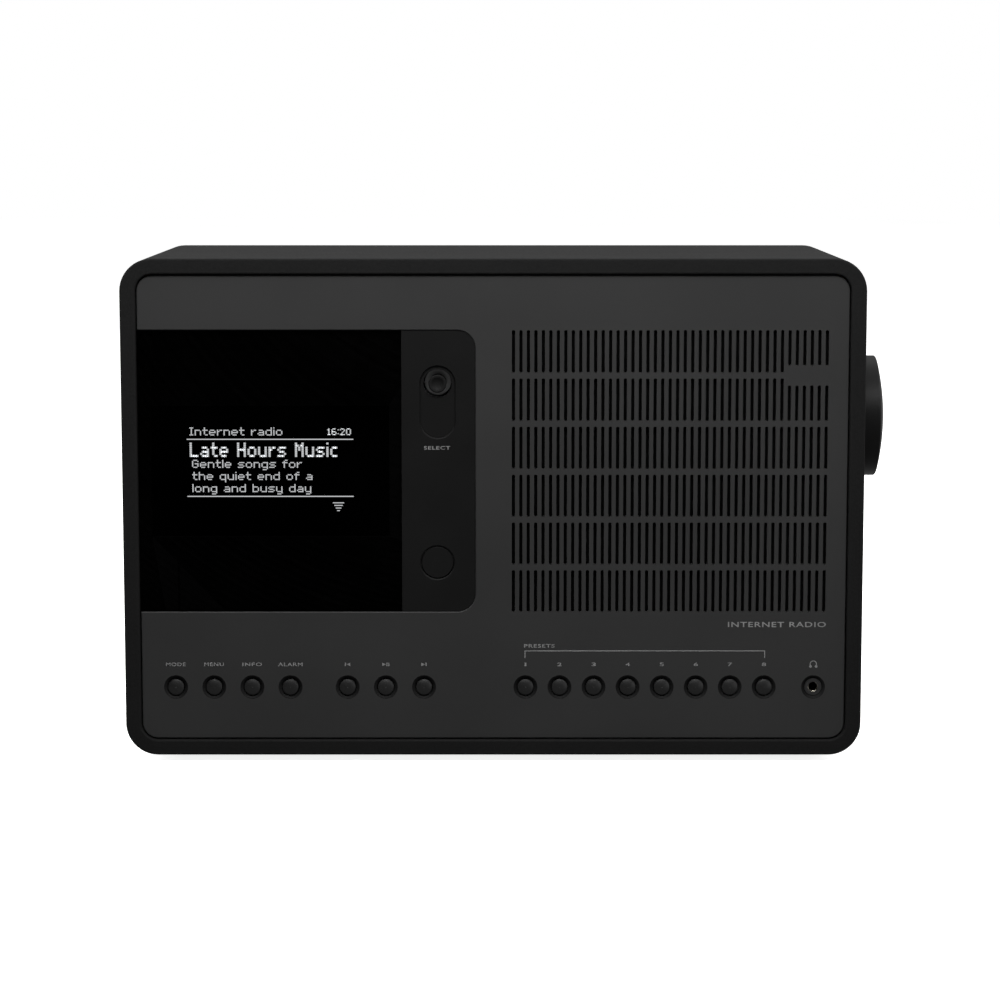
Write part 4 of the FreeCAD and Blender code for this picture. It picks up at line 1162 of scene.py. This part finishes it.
@dataclass
class Loudspeaker:
    """The driver behind the cloth."""

    bench: Workbench

    def build(self) -> None:
        """Dresses the driver's nodes."""
        self.bench.dress(ENAMELLED_STEEL, "speaker_basket")
        self.bench.dress(FERRITE, "speaker_magnet")
        self.bench.dress(PULP, "speaker_cone")
        self.bench.dress(BUTYL, "speaker_suspension")
        self.bench.dress(ZINC_STEEL, "speaker_screws")


# ---------------------------------------------------------------- rear


@dataclass
class Rear:
    """The rear panel, its port and aerial, and the words over its sockets.

    Attributes:
        letter_height: The height of the capitals.
        letter_width: The width of one capital.
        rise: How far the words' middles stand above the sockets.
        second_rise: How much higher the word over both line-out sockets stands.
        half_block: Half the width of the block behind each line-out collar.
    """

    bench: Workbench
    letter_height: float = 2.0 * MM
    letter_width: float = 1.9 * MM
    rise: float = 3.0 * MM
    second_rise: float = 3.5 * MM
    half_block: float = 6.0 * MM

    def build(self) -> None:
        """Dresses the rear's nodes and prints it."""
        self.bench.dress(ERODED_ABS, "rear_panel", "bass_port", "aerial_knuckle")
        self.bench.dress(BLACK_STEEL, "rear_screws")
        self.bench.dress(NICKEL_BRASS, "aerial_socket")
        self.bench.dress(AERIAL_SLEEVE, "aerial_rod")
        self.print_words()

    def print_words(self) -> None:
        """Prints a word over each socket."""
        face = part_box("rear_panel")[1].y
        low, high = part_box("line_out_sockets")
        words = {
            "LAN": (middle_of("ethernet_socket").x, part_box("ethernet_socket")[1].z),
            "AUX IN": (middle_of("aux_socket").x, high.z),
            "LINE OUT": ((low.x + high.x) / 2, high.z + self.second_rise),
            "L": (low.x + self.half_block, high.z),
            "R": (high.x - self.half_block, high.z),
            "DC IN": (middle_of("power_inlet").x, high.z),
        }
        ink = Shape()
        for word, (x, top) in words.items():
            width = self.letter_width * (len(word) - 0.2)
            ink.lettering(word, (x, top + self.rise), (width, self.letter_height), face, rear=True)
        self.bench.piece(ink, "rear_words", "housing", REAR_INK)


# ---------------------------------------------------------------- studio


@dataclass(frozen=True)
class Softbox:
    """A soft rectangular lamp.

    Attributes:
        name: Its name.
        place: Where it hangs.
        aim: The point it faces.
        size: Its width and height.
        watts: Its power.
    """

    name: str
    place: Place
    aim: Place
    size: Point
    watts: float

    def hang(self) -> None:
        """Hangs the lamp where only its light is seen."""
        lamp = bpy.data.lights.new(self.name, "AREA")
        lamp.shape, lamp.energy = "RECTANGLE", self.watts
        lamp.size, lamp.size_y = self.size
        holder = bpy.data.objects.new(self.name, lamp)
        holder.visible_camera = False
        heading = (Vector(self.aim) - Vector(self.place)).to_track_quat("-Z", "Y")
        holder.matrix_world = Matrix.Translation(self.place) @ heading.to_matrix().to_4x4()
        bpy.context.scene.collection.objects.link(holder)


# One large lamp over the radio, a narrow one near its front edge, a low weak one to the right, and one on
# each side, a little behind.
SOFTBOXES = (
    Softbox("overhead_softbox", (0.0, 0.4, 1.5), (0.0, 0.4, 0.0), (3.4, 3.0), 34.0),
    Softbox("key_softbox", (0.0, -0.36, 0.46), (0.0, -0.06, 0.17), (0.5, 0.12), 3.6),
    Softbox("fill_softbox", (0.75, -0.8, 0.12), (0.05, -0.06, 0.07), (0.5, 0.5), 1.6),
    Softbox("left_softbox", (-1.1, 0.25, 0.75), (0.0, 0.05, 0.1), (0.9, 0.9), 9.0),
    Softbox("right_softbox", (1.1, 0.25, 0.75), (0.0, 0.05, 0.1), (0.9, 0.9), 9.0),
)


@dataclass
class Studio:
    """A pale floor, soft lights and the camera.

    Attributes:
        distance: From the camera to the cabinet's front edge.
        sideways: From the cabinet's middle to the camera, to the right.
        height: From the table to the camera.
        pitch: How far the camera looks down, in degrees.
        lens: The focal length, in millimetres on a 36 mm sensor.
        floor_radius: The floor's radius.
        room_light: How much light the dark room in front of the radio gives.
        backdrop_light: How much light the pale backdrop behind it gives.
        bounce_light: How much light comes up from the floor.
    """

    distance: float = 1041.4 * MM
    sideways: float = 2.39 * MM
    height: float = 227.5 * MM
    pitch: float = 7.271
    lens: float = 106.63
    floor_radius: float = 6.0
    room_light: float = 0.06
    backdrop_light: float = 0.33
    bounce_light: float = 0.25

    def build(self) -> None:
        """Builds the studio and sets the plain tone curve."""
        self.lay_floor()
        self.place_camera()
        self.light_walls()
        for softbox in SOFTBOXES:
            softbox.hang()
        bpy.context.scene.view_settings.view_transform = "Standard"

    def lay_floor(self) -> None:
        """Lays a round floor under the feet, whose glow only the camera sees."""
        outline = circle((0, 0), self.floor_radius, steps=96)
        floor = Shape()
        corners = [floor.mesh.verts.new((x, y, 0)) for x, y in outline]
        floor.mesh.faces.new(corners)
        made = floor.finished("studio_floor")
        made.data.materials.append(OPAL_FLOOR.material())
        made.visible_diffuse = False
        made.visible_glossy = False

    def place_camera(self) -> None:
        """Places the camera in front of the cabinet."""
        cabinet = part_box("cabinet")
        data = bpy.data.cameras.new("camera")
        data.lens, data.sensor_width = self.lens, 36.0
        data.clip_start, data.clip_end = 0.05, 50.0
        camera = bpy.data.objects.new("camera", data)
        camera.location = (middle_of("cabinet").x + self.sideways, cabinet[0].y - self.distance, self.height)
        camera.rotation_euler = (math.radians(90 - self.pitch), 0, 0)
        bpy.context.scene.collection.objects.link(camera)
        bpy.context.scene.camera = camera

    def light_walls(self) -> None:
        """Lights the surroundings: dark in front, pale behind, and plain white where the camera looks."""
        world = bpy.data.worlds.new("studio_walls")
        world.use_nodes = True
        tree = world.node_tree
        tree.nodes.clear()
        backdrop = add_node(tree, "Background", {"Color": linear("FFFFFF"), "Strength": 1.0})
        direction = add_node(tree, "TexCoord")
        parts = add_node(tree, "SeparateXYZ", links={0: (direction, "Generated")})
        spread = {"From Min": -0.3, "From Max": 0.7, "To Min": self.room_light, "To Max": self.backdrop_light}
        glow = add_node(tree, "MapRange", spread, {"Value": (parts, "Y")})
        under = {"From Min": -0.3, "From Max": 0.0, "To Min": self.bounce_light, "To Max": 0.0}
        bounce = add_node(tree, "MapRange", under, {"Value": (parts, "Z")})
        strength = add_node(tree, "Math", {"operation": "ADD"}, {0: (glow, "Result"), 1: (bounce, "Result")})
        walls = add_node(tree, "Background", {"Color": linear("FFFFFF")}, {"Strength": (strength, "Value")})
        looked_at = add_node(tree, "LightPath")
        mixed = {0: (looked_at, "Is Camera Ray"), 1: (walls, 0), 2: (backdrop, 0)}
        seen = add_node(tree, "MixShader", links=mixed)
        add_node(tree, "OutputWorld", links={"Surface": (seen, 0)})
        bpy.context.scene.world = world


# ---------------------------------------------------------------- the whole


def main() -> None:
    """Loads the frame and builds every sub-assembly."""
    logging.basicConfig(level=logging.INFO, format="%(name)s: %(message)s")
    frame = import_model()
    bench = Workbench(frame["nodes"])
    assemblies = (Cabinet, FrontPanel, Display, Controls, Sockets, Electronics, Loudspeaker, Rear)
    for assembly in assemblies:
        LOG.info("building the %s", assembly.__name__)
        assembly(bench).build()
    Studio().build()


if __name__ == "__main__":
    main()
